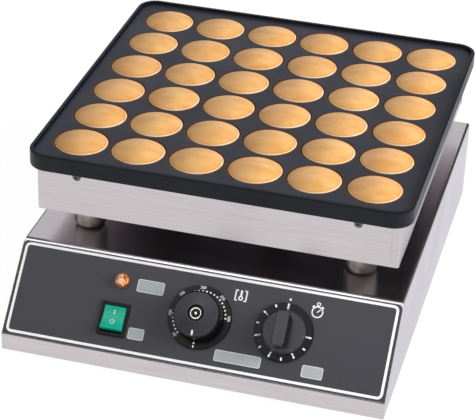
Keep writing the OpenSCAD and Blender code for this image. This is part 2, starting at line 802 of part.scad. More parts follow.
module switch_body() {
    color("#1b1b1d") on_panel(switch_x, switch_s) difference() {
        union() {
            translate([0, 0, overlay_t]) linear_extrude(bezel_h) rounded_rect(bezel_w, bezel_l, 1);
            translate([0, 0, -switch_depth]) linear_extrude(switch_depth + overlay_t + bite)
                square([switch_w, switch_l], center = true);
        }
        translate([0, 0, cavity_floor]) linear_extrude(bezel_h + overlay_t - cavity_floor + through)
            square([cavity_w, cavity_l], center = true);
        translate([0, 0, pivot_up]) rotate([0, 90, 0])
            cylinder(d = pivot_d + 2 * run_gap, h = switch_w + 2 * through, center = true);
    }
}

module switch_rocker() {
    half_l = rocker_l / 2;
    color("#1f9f78") on_panel(switch_x, switch_s) translate([0, 0, pivot_up])
        rotate([-rocker_tilt, 0, 0]) {
            along_x(rocker_w) polygon([[-half_l, rocker_up], [0, rocker_up - rocker_dip],
                [half_l, rocker_up], [half_l, rocker_waist], [half_l - rocker_foot, -rocker_down],
                [rocker_foot - half_l, -rocker_down], [-half_l, rocker_waist]]);
            rotate([0, 90, 0]) cylinder(d = pivot_d, h = switch_w - switch_wall, center = true);
        }
}

module switch_tabs() {
    color("#c8a95a") on_panel(switch_x, switch_s) for (x = [-1, 1], s = [-1, 1])
        translate([x * tab_x - tab_t / 2, s * tab_s - tab_w / 2, tab_back])
            cube([tab_t, tab_w, tab_l]);
}

module lamp_holder() {
    color("#7d2a1c") on_panel(switch_x, lamp_s) {
        translate([0, 0, overlay_t]) cylinder(d = lamp_flange_d, h = lamp_flange_t);
        translate([0, 0, -lamp_depth]) cylinder(d = lamp_barrel_d, h = lamp_depth + overlay_t + bite);
    }
}

module lamp_lens() {
    steps = 6;
    color("#e07a35") on_panel(switch_x, lamp_s) translate([0, 0, overlay_t + lamp_flange_t])
        rotate_extrude() polygon(concat([[0, 0]],
            [for (i = [0:steps]) [lens_d / 2 * cos(90 * i / steps), lens_h * sin(90 * i / steps)]]));
}

module lamp_nut() {
    color(steel) on_panel(switch_x, lamp_s) translate([0, 0, -sheet_t - lamp_nut_t])
        hex_nut(lamp_barrel_d + 2 * lamp_nut_wall, lamp_barrel_d + 2 * hole_gap, lamp_nut_t);
}

// A control behind the panel: bracket, square case and the bush that carries its spindle
module control_case(side, depth) {
    difference() {
        union() {
            translate([0, 0, -sheet_t - bracket_t]) linear_extrude(bracket_t)
                rounded_rect(side, side, 2);
            translate([0, 0, -sheet_t - bracket_t - depth]) linear_extrude(depth + bite)
                rounded_rect(side - 4, side - 4, 3);
            translate([0, 0, -sheet_t - bite]) cylinder(d = bush_d, h = sheet_t + bite + bush_up);
        }
        translate([0, 0, -sheet_t - spindle_back - part_gap])
            cylinder(d = spindle_d + 2 * run_gap, h = spindle_back + sheet_t + bush_up + 2 * through);
        control_screw_places() translate([0, 0, -sheet_t - 3 * bracket_t])
            cylinder(d = small_screw_d + 2 * run_gap, h = 4 * bracket_t);
    }
}

module control_spindle(top) {
    color(steel) translate([0, 0, -sheet_t - spindle_back])
        cylinder(d = spindle_d, h = spindle_back + sheet_t + top);
}

// The two screws of a control, whose heads stand on the plane at the given height
module control_screws(seat) {
    color(steel) control_screw_places() translate([0, 0, seat])
        screw(small_screw_d, seat + sheet_t + 2 * bracket_t, control_screw_head_d, control_screw_head_h);
}

module thermostat_body() {
    color("#d8d4c8") on_panel(0, dial_s) control_case(thermostat_w, thermostat_depth);
}

module thermostat_scale_ring() {
    edge = 0.6;
    color(dark_plastic) on_panel(0, dial_s) difference() {
        translate([0, 0, overlay_t]) rotate_extrude() polygon([
            [bush_d / 2 + part_gap, 0], [scale_d / 2, 0], [scale_d / 2, scale_t - edge],
            [scale_d / 2 - edge, scale_t], [bush_d / 2 + part_gap, scale_t]]);
        control_screw_places() translate([0, 0, overlay_t - through])
            cylinder(d = small_screw_d + 2 * hole_gap, h = scale_t + 2 * through);
    }
}

module thermostat_screws() {
    on_panel(0, dial_s) control_screws(scale_up);
}

module thermostat_spindle() {
    on_panel(0, dial_s) control_spindle(spindle_up);
}

module thermostat_knob() {
    bore_r = spindle_d / 2 + run_gap;
    bore_top = knob_hollow_h + part_gap;
    wall_r = knob_d / 2;
    edge = 1.4;
    seat_r = badge_d / 2 + badge_ring;
    color(dark_plastic) on_panel(0, dial_s) translate([0, 0, knob_up]) rotate_extrude() polygon([
        [bore_r, 0], [hub_d / 2, 0], [hub_d / 2, knob_hollow_h], [wall_r - knob_wall, knob_hollow_h],
        [wall_r - knob_wall, 0], [wall_r, 0], [wall_r - knob_draft, knob_side_h],
        [wall_r - knob_draft - edge, knob_side_h + edge], [seat_r + edge, knob_h], [seat_r, knob_h],
        [seat_r, knob_h - badge_seat], [0, knob_h - badge_seat], [0, bore_top], [bore_r, bore_top]]);
}

module thermostat_badge() {
    color("#d9d9dc") on_panel(0, dial_s) translate([0, 0, knob_up + knob_h - badge_seat])
        cylinder(d = badge_d, h = badge_t);
}

module timer_body() {
    color("#e4e0d4") on_panel(timer_x, dial_s) control_case(timer_w, timer_depth);
}

module timer_screws() {
    on_panel(timer_x, dial_s) control_screws(overlay_t);
}

module timer_spindle() {
    on_panel(timer_x, dial_s) control_spindle(timer_spindle_up);
}

module timer_knob() {
    bore_r = spindle_d / 2 + run_gap;
    bore_top = timer_hollow_h + part_gap;
    hub_low = bush_up + part_gap - skirt_up;
    edge = 0.6;
    hollow_r = shoulder_top_d / 2 + knob_wall / 2;
    shoulder_z = skirt_t + shoulder_h;
    color(dark_plastic) on_panel(timer_x, dial_s) translate([0, 0, skirt_up]) {
        rotate_extrude() polygon([
            [bore_r, hub_low], [hub_d / 2, hub_low], [hub_d / 2, timer_hollow_h],
            [shoulder_top_d / 2 - knob_wall, timer_hollow_h], [hollow_r, 0],
            [skirt_d / 2, 0], [skirt_d / 2, skirt_t - edge], [skirt_d / 2 - edge, skirt_t],
            [shoulder_d / 2, skirt_t], [shoulder_top_d / 2, shoulder_z], [0, shoulder_z],
            [0, bore_top], [bore_r, bore_top]]);
        translate([0, 0, shoulder_z - bite]) linear_extrude(grip_h + bite)
            rounded_rect(grip_w, grip_l, grip_w / 3);
    }
}

// Posts, conduit and heater box

module spacer_posts() {
    bore_r = post_bolt_d / 2 + part_gap;
    foot_bend = [post_d / 2 - post_round, post_round];
    color(steel) for (p = posts) translate([p[0], p[1], deck_z]) rotate_extrude() polygon(concat(
        [[bore_r, 0]], bend(foot_bend, post_round, -90, 0), [[post_d / 2, post_h], [bore_r, post_h]]));
}

module post_bolts() {
    shank_l = box_t + post_h + sheet_t + post_nut_h + bolt_end;
    color(steel) for (p = posts) translate([p[0], p[1], box_z + box_t]) {
        cylinder(d = bolt_flats / cos(30), h = bolt_head_h, $fn = 6);
        translate([0, 0, -shank_l]) cylinder(d = post_bolt_d, h = shank_l + bite);
    }
}

module post_nuts() {
    color(steel) for (p = posts) translate([p[0], p[1], deck_z - sheet_t - post_nut_h])
        hex_nut(bolt_flats, post_bolt_d + 2 * hole_gap, post_nut_h);
}

module wire_conduit() {
    color(steel) translate([0, conduit_y, deck_z]) difference() {
        cylinder(d = conduit_d, h = post_h);
        translate([0, 0, -through]) cylinder(d = conduit_bore, h = post_h + 2 * through);
    }
}

// One child at each fixing lug, its +Z pointing out of the box through the wall
module lug_places() {
    for (k = lugs) translate([k[0] * lug_x, plate_y + k[1] * box_w / 2, plate_z - lug_screw_drop])
        rotate([-90 * k[1], 0, 0]) children();
}

module heater_box() {
    inside_w = box_w - 2 * box_t;
    color(steel) difference() {
        translate([0, plate_y, box_z]) linear_extrude(box_h) rounded_rect(box_w, box_w, box_corner_r);
        translate([0, plate_y, box_z + box_t]) linear_extrude(box_h)
            rounded_rect(inside_w, inside_w, box_corner_r - box_t);
        for (p = posts) translate([p[0], p[1], box_z - through])
            cylinder(d = post_bolt_d + 2 * part_gap, h = box_t + 2 * through);
        translate([0, conduit_y, box_z - through])
            cylinder(d = conduit_bore, h = box_t + 2 * through);
        lug_places() translate([0, 0, -box_t - through])
            cylinder(d = small_screw_d + 2 * hole_gap, h = box_t + 2 * through);
    }
}

module box_screws() {
    color(steel) lug_places() screw(small_screw_d, box_t + lug_t, screw_head_d, screw_head_h);
}

module insulation_blanket() {
    side = box_w - 2 * box_t - 2 * part_gap;
    bolt_room = bolt_flats / cos(30) + 4 * part_gap;
    color("#e9e4d6") translate([0, 0, blanket_z]) difference() {
        translate([0, plate_y, 0]) linear_extrude(blanket_t) rounded_rect(side, side, box_corner_r - box_t);
        for (p = posts) translate([p[0], p[1], -through])
            cylinder(d = bolt_room, h = blanket_t + 2 * through);
        translate([0, conduit_y, -through]) cylinder(d = conduit_bore, h = blanket_t + 2 * through);
    }
}

module heat_reflector() {
    side = box_w - 2 * box_t - 4 * part_gap;
    color("#b9bcc0") translate([0, 0, reflector_z]) difference() {
        translate([0, plate_y, 0]) linear_extrude(reflector_t) rounded_rect(side, side, box_corner_r - box_t);
        translate([0, conduit_y, -through]) cylinder(d = conduit_bore, h = reflector_t + 2 * through);
    }
}

module heating_elements() {
    leg_l = leg_front + leg_back;
    color("#6e6a64") for (i = [0:hairpins - 1])
        translate([(2 * i + 1 - hairpins) * cup_pitch, plate_y, element_z]) {
            for (side = [-1, 1]) translate([side * cup_pitch / 2, 0, 0]) {
                translate([0, leg_back, 0]) rotate([90, 0, 0]) cylinder(d = element_d, h = leg_l);
                translate([0, leg_back + pin_l, 0]) rotate([90, 0, 0])
                    cylinder(d = pin_d, h = pin_l + bite);
            }
            translate([0, -leg_front, 0]) rotate([0, 0, 180]) rotate_extrude(angle = 180)
                translate([cup_pitch / 2, 0]) circle(d = element_d);
        }
}

module clamp_bars() {
    bar_l = leg_span + 2 * bar_overrun;
    color("#8b8d90") for (side = [-1, 1]) translate([0, plate_y + side * bar_y, bar_z - bar_t])
        difference() {
            linear_extrude(bar_t) rounded_rect(bar_l, bar_w, 2);
            for (x = [-1, 1]) translate([x * boss_x, 0, -through])
                cylinder(d = clamp_screw_d + 2 * hole_gap, h = bar_t + 2 * through);
        }
}

module clamp_screws() {
    color(steel) for (p = bosses) translate([p[0], p[1], bar_z - bar_t]) rotate([180, 0, 0])
        screw(clamp_screw_d, bar_t + clamp_screw_l, clamp_head_d, clamp_head_h);
}

module griddle_plate() {
    tray_w = plate_w - 2 * rim_w;
    color("#3c3c44") difference() {
        union() {
            translate([0, plate_y, plate_z]) linear_extrude(plate_t + rim_h)
                rounded_rect(plate_w, plate_w, plate_corner_r);
            for (k = lugs) translate([k[0] * lug_x - lug_w / 2, plate_y + k[1] * lug_y - lug_t / 2,
                plate_z - lug_h]) cube([lug_w, lug_t, lug_h + bite]);
            for (p = bosses) translate([p[0], p[1], bar_z]) cylinder(d = boss_d, h = plate_z - bar_z + bite);
        }
        translate([0, plate_y, land_z]) linear_extrude(rim_h + through)
            rounded_rect(tray_w, tray_w, plate_corner_r - rim_w);
        for (p = cup_places) translate([p[0], p[1], land_z + cup_ball_r - cup_depth]) sphere(cup_ball_r);
        lug_places() translate([0, 0, -box_t - part_gap - lug_t - through])
            cylinder(d = small_screw_d + 2 * run_gap, h = lug_t + 2 * through);
        for (p = bosses) translate([p[0], p[1], bar_z - through])
            cylinder(d = clamp_screw_d + 2 * run_gap, h = clamp_screw_l + through + part_gap);
    }
}

module pancakes() {
    color("#d9a768") for (p = cup_places) translate([p[0], p[1], land_z]) rotate_extrude()
        intersection() {
            translate([0, cup_ball_r - cup_depth]) circle(cup_ball_r - pancake_gap, $fn = 360);
            translate([0, pancake_crown - crown_ball_r]) circle(crown_ball_r, $fn = 720);
            translate([0, -cup_depth]) square([pancake_d / 2, cup_depth + pancake_crown]);
        }
}

// Wiring and mains entry

module thermostat_bulb() {
    color("#b87a4b") translate([0, bulb_back_y, element_z]) rotate([90, 0, 0])
        cylinder(d = element_d, h = bulb_l);
}

module thermostat_capillary() {
    color("#b87a4b") tube_along(capillary_route, capillary_d, 8);
}

module control_wires() {
    color("#7c7f86") for (route = wire_routes) tube_along(route, wire_d, 8);
}

module heater_leads() {
    color("#d7d2c6") for (route = lead_routes) tube_along(route, wire_d, 8);
}

module element_links() {
    color("#d7d2c6") for (i = [1:hairpins - 1], x = (2 * i - hairpins) * cup_pitch)
        tube_along([[x - cup_pitch / 2, pin_end_y, element_z], [x - cup_pitch / 2, link_y, element_z],
            [x + cup_pitch / 2, link_y, element_z], [x + cup_pitch / 2, pin_end_y, element_z]], wire_d, 8);
}

module block_pole_places() {
    for (i = [-1:1]) translate([block_x + i * pole_pitch, block_y, pole_z]) rotate([90, 0, 0]) children();
}

module block_screw_places() {
    for (side = [-1, 1]) translate([block_x + side * (block_l / 2 - block_screw_d), block_y, floor_z])
        children();
}

module terminal_block() {
    rib_gap = 2;
    color("#efe9dc") difference() {
        translate([block_x - block_l / 2, block_y - block_d / 2, floor_z]) cube([block_l, block_d, block_h]);
        block_pole_places() cylinder(d = insert_d + 2 * hole_gap, h = block_d + 2 * through, center = true);
        for (side = [-1, 1]) translate([block_x + side * pole_pitch / 2 - rib_gap / 2,
            block_y - block_d, floor_z + block_h * 0.8]) cube([rib_gap, 2 * block_d, block_h]);
        block_screw_places() translate([0, 0, -through])
            cylinder(d = block_screw_d + 2 * hole_gap, h = block_h + 2 * through);
    }
}

module terminal_inserts() {
    color("#c8a95a") block_pole_places() cylinder(d = insert_d, h = block_d, center = true);
}

module terminal_screws() {
    color(steel) block_screw_places() translate([0, 0, block_h])
        screw(block_screw_d, block_h + cover_t + bite, 2 * block_screw_d, screw_head_h);
}

module earth_screw() {
    color("#c8a95a") translate([earth_x, earth_y, floor_z]) {
        cylinder(d = washer_d, h = washer_t);
        translate([0, 0, washer_t - bite]) cylinder(d = earth_head_d, h = earth_head_h + bite, $fn = 6);
        translate([0, 0, -cover_t - bite]) cylinder(d = earth_d, h = cover_t + washer_t + bite);
    }
}

module gland_place() {
    translate([gland_x, back_y, cab_z + gland_up]) rotate([-90, 0, 0]) children();
}

module cable_gland() {
    nose_d = gland_bore + 5;
    color("#2b2b2e") gland_place() difference() {
        union() {
            cylinder(d = gland_flats / cos(30), h = gland_flange_t, $fn = 6);
            translate([0, 0, -cover_t - gland_in]) cylinder(d = gland_thread_d, h = cover_t + gland_in + bite);
            translate([0, 0, gland_flange_t - bite]) rotate_extrude() polygon([[0, 0],
                [gland_flats / 2 - bite, 0], [gland_flats / 2 - bite, gland_reach * 0.4],
                [nose_d / 2, gland_reach - gland_flange_t + bite], [0, gland_reach - gland_flange_t + bite]]);
        }
        translate([0, 0, -cover_t - gland_in - through])
            cylinder(d = gland_bore, h = cover_t + gland_in + gland_reach + 2 * through);
    }
}

module gland_locknut() {
    color("#2b2b2e") gland_place() translate([0, 0, -cover_t - locknut_t])
        hex_nut(gland_flats + 2, gland_thread_d + 2 * hole_gap, locknut_t);
}

cabinet_shell();
rear_cover();
rear_cover_screws();
bottom_cover();
bottom_cover_screws();
rubber_feet();
foot_screws();
control_overlay();
switch_body();
switch_rocker();
switch_tabs();
lamp_holder();
lamp_lens();
lamp_nut();
thermostat_body();
thermostat_scale_ring();
thermostat_screws();
thermostat_spindle();
thermostat_knob();
thermostat_badge();
thermostat_bulb();
thermostat_capillary();
timer_body();
timer_screws();
timer_spindle();
timer_knob();
spacer_posts();
post_bolts();
post_nuts();
wire_conduit();
heater_box();
box_screws();
insulation_blanket();
heat_reflector();
heating_elements();
clamp_bars();
clamp_screws();
griddle_plate();
pancakes();
terminal_block();
terminal_inserts();
terminal_screws();
earth_screw();
control_wires();
heater_leads();
element_links();
cable_gland();
gland_locknut();
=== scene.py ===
import json
import math
import random

import bmesh
import bpy
from mathutils import Matrix, Vector, noise


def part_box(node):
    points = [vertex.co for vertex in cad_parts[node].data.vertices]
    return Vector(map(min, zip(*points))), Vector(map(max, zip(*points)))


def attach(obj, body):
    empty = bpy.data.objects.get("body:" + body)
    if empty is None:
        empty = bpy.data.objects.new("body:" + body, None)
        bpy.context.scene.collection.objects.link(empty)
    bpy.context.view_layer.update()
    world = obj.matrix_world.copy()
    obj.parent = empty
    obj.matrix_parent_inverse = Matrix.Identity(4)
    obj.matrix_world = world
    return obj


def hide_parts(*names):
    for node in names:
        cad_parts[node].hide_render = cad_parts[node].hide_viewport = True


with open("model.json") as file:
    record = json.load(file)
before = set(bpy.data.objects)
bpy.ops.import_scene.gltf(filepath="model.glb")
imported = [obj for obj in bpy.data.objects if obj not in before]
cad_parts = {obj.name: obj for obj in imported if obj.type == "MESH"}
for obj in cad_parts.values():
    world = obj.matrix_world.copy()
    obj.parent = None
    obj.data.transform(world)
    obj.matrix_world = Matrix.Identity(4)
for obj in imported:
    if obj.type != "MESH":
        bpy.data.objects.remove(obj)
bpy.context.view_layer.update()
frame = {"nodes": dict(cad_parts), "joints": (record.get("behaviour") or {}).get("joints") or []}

# The camera stands in front of the appliance and a little to its right, and looks down on it through a long
# lens. It is tilted slightly, as in the photograph. The studio is laid out in metres, and the pieces are
# made in millimetres.
view_azimuth = math.radians(14.29)
view_elevation = math.radians(30.62)
view_roll = math.radians(2.05)
view_distance = 1.8357
view_target = Vector((-0.0129, -0.0117, 0.0650))
sensor_width = 36.0
lens_length = 144.15
nearest_seen = 0.05
farthest_seen = 60.0

level = math.cos(view_elevation)
backwards = Vector((math.sin(view_azimuth) * level, -math.cos(view_azimuth) * level,
    math.sin(view_elevation)))
rightwards = Vector((math.cos(view_azimuth), math.sin(view_azimuth), 0.0))
upwards = backwards.cross(rightwards)
tilted_right = math.cos(view_roll) * rightwards + math.sin(view_roll) * upwards
tilted_up = math.cos(view_roll) * upwards - math.sin(view_roll) * rightwards

camera = bpy.data.objects.new("camera", bpy.data.cameras.new("camera"))
camera.data.sensor_width = sensor_width
camera.data.lens = lens_length
camera.data.clip_start = nearest_seen
camera.data.clip_end = farthest_seen
camera.matrix_world = Matrix.Translation(view_target + view_distance * backwards) @ Matrix(
    (tilted_right, tilted_up, backwards)).transposed().to_4x4()
bpy.context.scene.collection.objects.link(camera)
bpy.context.scene.camera = camera

# A white studio: soft boxes overhead and on all sides, and an even white room round them. The strong box at
# the right is behind a polarising filter, so that it shades the appliance but leaves no glare on it.
# Colours are shown as they are, without a film curve, so that white stays white.
even_white = (1.0, 1.0, 1.0, 1.0)
room_glow = 0.08

bpy.context.scene.view_settings.view_transform = "Standard"
studio = bpy.data.worlds.new("studio")
studio.use_nodes = True
studio.node_tree.nodes["Background"].inputs["Color"].default_value = even_white
studio.node_tree.nodes["Background"].inputs["Strength"].default_value = room_glow
bpy.context.scene.world = studio


def soft_box(name, place, size, power, glare=True):
    """Hangs a square soft box that faces the appliance."""
    box = bpy.data.objects.new(name, bpy.data.lights.new(name, "AREA"))
    box.data.size = size
    box.data.energy = power
    box.location = place
    box.rotation_euler = (view_target - Vector(place)).to_track_quat("-Z", "Y").to_euler()
    box.visible_glossy = glare
    bpy.context.scene.collection.objects.link(box)


soft_box("overhead_box", (0.1, 0.2, 2.4), 2.4, 3.0)
soft_box("front_box", (-0.5, -0.95, 2.2), 1.3, 12.0)
soft_box("backdrop_box", (-0.8, 2.8, 1.6), 2.0, 10.5)
soft_box("right_box", (2.3, -0.1, 0.97), 1.8, 158.0, glare=False)
soft_box("left_box", (-2.0, -0.9, 1.5), 1.6, 5.0)

# The floor is a light table: a sheet of opal board that runs out of view on all sides and is lit from
# below, so that shadows on it stay pale. Fibres give it a very faint mottling.
board_side = 14.0
board_mottle = 30.0


def tint(code):
    """Linear colour of an sRGB hex code."""
    shares = [int(code[i:i + 2], 16) / 255 for i in (1, 3, 5)]
    return [s / 12.92 if s <= 0.04045 else ((s + 0.055) / 1.055) ** 2.4 for s in shares] + [1.0]


def add_node(tree, kind, inputs=None, stops=None, **settings):
    """Adds a shader node, gives it its settings, and fills or links its inputs, by name or number."""
    made = tree.nodes.new(kind)
    for name, value in settings.items():
        setattr(made, name, value)
    for key, value in (inputs or {}).items():
        if isinstance(value, bpy.types.NodeSocket):
            tree.links.new(value, made.inputs[key])
        else:
            made.inputs[key].default_value = value
    for i, (place, code) in enumerate(stops or []):
        stop = made.color_ramp.elements[i] if i < 2 else made.color_ramp.elements.new(place)
        stop.position = place
        stop.color = tint(code)
    return made


def start_material(name, **constants):
    """A material with one surface shader, whose even values are set on its own sockets."""
    made = bpy.data.materials.new(name)
    made.use_nodes = True
    tree = made.node_tree
    tree.nodes.clear()
    shader = add_node(tree, "ShaderNodeBsdfPrincipled")
    for key, value in constants.items():
        shader.inputs[key.replace("_", " ")].default_value = value
    add_node(tree, "ShaderNodeOutputMaterial", {"Surface": shader.outputs[0]})
    return made, tree, shader


def mottled(tree, shader, grain, detail, low, high):
    """Colours a surface between two tones, in spots of so many millimetres, and returns the spots."""
    place = add_node(tree, "ShaderNodeTexCoord").outputs["Object"]
    spots = add_node(tree, "ShaderNodeTexNoise", {"Vector": place, "Scale": 1000 / grain, "Detail": detail})
    tone = add_node(tree, "ShaderNodeValToRGB", {0: spots.outputs[0]}, stops=[(0.3, low), (0.7, high)])
    tree.links.new(tone.outputs[0], shader.inputs["Base Color"])
    return spots.outputs[0]


board_white, tree, shader = start_material("lit_opal_board", Roughness=0.9, Specular_IOR_Level=0.2,
    Emission_Color=even_white, Emission_Strength=0.955)
mottled(tree, shader, board_mottle, 3.0, "#444444", "#484848")
bm = bmesh.new()
bmesh.ops.create_grid(bm, x_segments=1, y_segments=1, size=board_side / 2)
floor_mesh = bpy.data.meshes.new("floor")
bm.to_mesh(floor_mesh)
bm.free()
floor_mesh.materials.append(board_white)
floor = bpy.data.objects.new("floor", floor_mesh)
bpy.context.scene.collection.objects.link(floor)

# Cabinet: a shell, a rear cover and a bottom cover, folded from cold-rolled stainless sheet and screwed.
# Its face is brushed across the front and the deck and along the sides, and that draws each
# reflection out across the brushing.
grain_width = 0.9
grain_length = 70.0
scratch_width = 1.2
scratch_length = 120.0
smudge_size = 90.0
side_facing = 0.7
fold_round = 0.5
long_edge = 30.0


def brushed_stainless():
    """Brushed sheet. Its grain is drawn about five times as coarse as a real one, so that it shows."""
    made, tree, shader = start_material("brushed_stainless_steel", Metallic=1.0, Anisotropic=0.45,
        Specular_Tint=tint("#eeeff5"))
    place = add_node(tree, "ShaderNodeTexCoord").outputs["Object"]
    normal = add_node(tree, "ShaderNodeNewGeometry").outputs["Normal"]
    sideways = add_node(tree, "ShaderNodeSeparateXYZ", {0: normal}).outputs[0]
    on_side = add_node(tree, "ShaderNodeMath", {0: sideways}, operation="ABSOLUTE").outputs[0]
    is_side = add_node(tree, "ShaderNodeMath", {0: on_side, 1: side_facing},
        operation="GREATER_THAN").outputs[0]
    spread_across, spread_along = [add_node(tree, "ShaderNodeVectorMath", {0: normal, 1: brushing},
        operation="CROSS_PRODUCT").outputs[0] for brushing in ((1.0, 0.0, 0.0), (0.0, 1.0, 0.0))]
    tangent = add_node(tree, "ShaderNodeMix", {0: is_side, 4: spread_across, 5: spread_along},
        data_type="VECTOR")
    tree.links.new(tangent.outputs[1], shader.inputs["Tangent"])

    def streaks(width, length, detail):
        """Noise drawn out along the brushing."""
        fine, drawn = 1000 / width, 1000 / length
        across = add_node(tree, "ShaderNodeMapping", {"Vector": place, "Scale": (drawn, fine, fine)})
        along = add_node(tree, "ShaderNodeMapping", {"Vector": place, "Scale": (fine, drawn, fine)})
        brushed = add_node(tree, "ShaderNodeMix", {0: is_side, 4: across.outputs[0], 5: along.outputs[0]},
            data_type="VECTOR")
        return add_node(tree, "ShaderNodeTexNoise", {"Vector": brushed.outputs[1], "Scale": 1.0,
            "Detail": detail, "Roughness": 0.6}).outputs[0]

    grain = streaks(grain_width, grain_length, 2.0)
    scratches = streaks(scratch_width, scratch_length, 1.0)
    smudge = add_node(tree, "ShaderNodeTexNoise",
        {"Vector": place, "Scale": 1000 / smudge_size, "Detail": 2.0})
    tone = add_node(tree, "ShaderNodeValToRGB", {0: grain}, stops=[(0.3, "#c3bdc0"), (0.7, "#cec8cb")])
    marks = add_node(tree, "ShaderNodeValToRGB", {0: scratches},
        stops=[(0.24, "#f7f5f5"), (0.34, "#ffffff")])
    marked = add_node(tree, "ShaderNodeMix", {0: 1.0, 6: tone.outputs[0], 7: marks.outputs[0]},
        data_type="RGBA", blend_type="MULTIPLY")
    tree.links.new(marked.outputs[2], shader.inputs["Base Color"])
    dull = add_node(tree, "ShaderNodeMapRange", {"Value": smudge.outputs[0],
        "From Min": 0.3, "From Max": 0.7, "To Min": 0.2, "To Max": 0.27})
    tree.links.new(dull.outputs[0], shader.inputs["Roughness"])
    return made


def finish_nodes(material, *names):
    """Gives the carried-over solids their finish."""
    for name in names:
        frame["nodes"][name].data.materials[0] = material


def make_piece(name, bm, material, body, slot, *replaced, sharp=35.0, flat_faces=True):
    """Turns a mesh in millimetres into a piece in metres that rides on its body."""
    bmesh.ops.recalc_face_normals(bm, faces=bm.faces)
    bmesh.ops.transform(bm, matrix=Matrix.Scale(0.001, 4), verts=bm.verts)
    mesh = bpy.data.meshes.new(name)
    bm.to_mesh(mesh)
    bm.free()
    mesh.shade_smooth()
    mesh.set_sharp_from_angle(angle=math.radians(sharp))
    mesh.materials.append(material)
    piece = bpy.data.objects.new(name, mesh)
    bpy.context.scene.collection.objects.link(piece)
    if flat_faces:
        flats = piece.modifiers.new("flat_faces", "WEIGHTED_NORMAL")
        flats.weight = 100
        flats.keep_sharp = True
    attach(piece, body)
    if replaced:
        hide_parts(*replaced)
    return piece


def soften(bm, width, segments=3, limit=30.0, longer=0.0):
    """Rounds every edge that is sharper than the limit and longer than a length."""
    sharp = [e for e in bm.edges if len(e.link_faces) == 2 and e.calc_length() > longer
        and e.calc_face_angle(0.0) > math.radians(limit)]
    bmesh.ops.bevel(bm, geom=sharp, offset=width, offset_type="OFFSET", affect="EDGES", segments=segments,
        profile=0.5, material=-1, clamp_overlap=True)


def solid_copy(node):
    """A merged copy of a solid, in millimetres, with its flat faces whole."""
    bm = bmesh.new()
    bm.from_mesh(frame["nodes"][node].data)
    bmesh.ops.transform(bm, matrix=Matrix.Scale(1000.0, 4), verts=bm.verts)
    bmesh.ops.remove_doubles(bm, verts=bm.verts, dist=0.001)
    bmesh.ops.dissolve_limit(bm, angle_limit=math.radians(0.5), verts=bm.verts, edges=bm.edges)
    return bm


stainless = brushed_stainless()
finish_nodes(stainless, "rear_cover", "bottom_cover")
bm = solid_copy("cabinet_shell")
soften(bm, fold_round, longer=long_edge)
make_piece("folded_cabinet", bm, stainless, "frame", "stainless_sheet", "cabinet_shell")

# Screws, nuts, bolts, clamp bars and spindles: mild steel, pressed or turned, with a bright zinc
# plating that is slightly cloudy.
cloud_size = 4.0

zinc, tree, shader = start_material("zinc_plated_steel", Metallic=1.0)
clouds = mottled(tree, shader, cloud_size, 3.0, "#a9abae", "#c6c8c9")
dull = add_node(tree, "ShaderNodeMapRange", {"Value": clouds,
    "From Min": 0.3, "From Max": 0.7, "To Min": 0.24, "To Max": 0.4})
tree.links.new(dull.outputs[0], shader.inputs["Roughness"])
finish_nodes(zinc, "rear_cover_screws", "bottom_cover_screws", "foot_screws", "thermostat_screws",
    "timer_screws", "post_bolts", "post_nuts", "clamp_bars", "clamp_screws", "terminal_screws", "lamp_nut",
    "thermostat_spindle", "timer_spindle")

# Feet: soft black rubber, moulded, screwed to the bottom cover.
# Their skin is dull and slightly grainy.
rubber_grain = 0.8

rubber, tree, shader = start_material("moulded_rubber", Roughness=0.75, Specular_IOR_Level=0.35)
skin = mottled(tree, shader, rubber_grain, 2.0, "#1b1b1d", "#26262a")
bump = add_node(tree, "ShaderNodeBump", {"Height": skin, "Strength": 0.4, "Distance": 0.0001})
tree.links.new(bump.outputs[0], shader.inputs["Normal"])
finish_nodes(rubber, "rubber_feet")

# Control overlay: a polycarbonate film printed on its back in charcoal, with a fine satin face.
# It is glued to the sloping panel.
satin_grain = 0.7

overlay_film, tree, shader = start_material("printed_polycarbonate_film", Roughness=0.42, IOR=1.5)
satin = mottled(tree, shader, satin_grain, 2.0, "#37373d", "#414148")
bump = add_node(tree, "ShaderNodeBump", {"Height": satin, "Strength": 0.25, "Distance": 0.00006})
tree.links.new(bump.outputs[0], shader.inputs["Normal"])
finish_nodes(overlay_film, "control_overlay")

# Printing on the overlay: a white border line, bare grey label plates, the mark above the timer, and
# pictograms of a thermometer and a stopwatch. Screen ink, laid on in a thin film. Places are measured
# across from the panel's middle and up the slope from its lower bend.
joints = {joint["name"]: joint for joint in frame["joints"]}
panel_out = -Vector(joints["thermostat_turn"]["axis"])
panel_up = panel_out.cross(Vector((1.0, 0.0, 0.0)))
panel_origin = 1000 * Vector(joints["thermostat_turn"]["pos_m"])
dial_up = 46.0
film_top = 0.5
ink_t = 0.08
mesh_mark = 0.6
border_side = 347.0
border_low = 2.7
border_high = 87.1
border_corner = 5.0
border_line = 2.4
label_corner = 1.6
label_line = 0.6
label_edge_t = 0.12
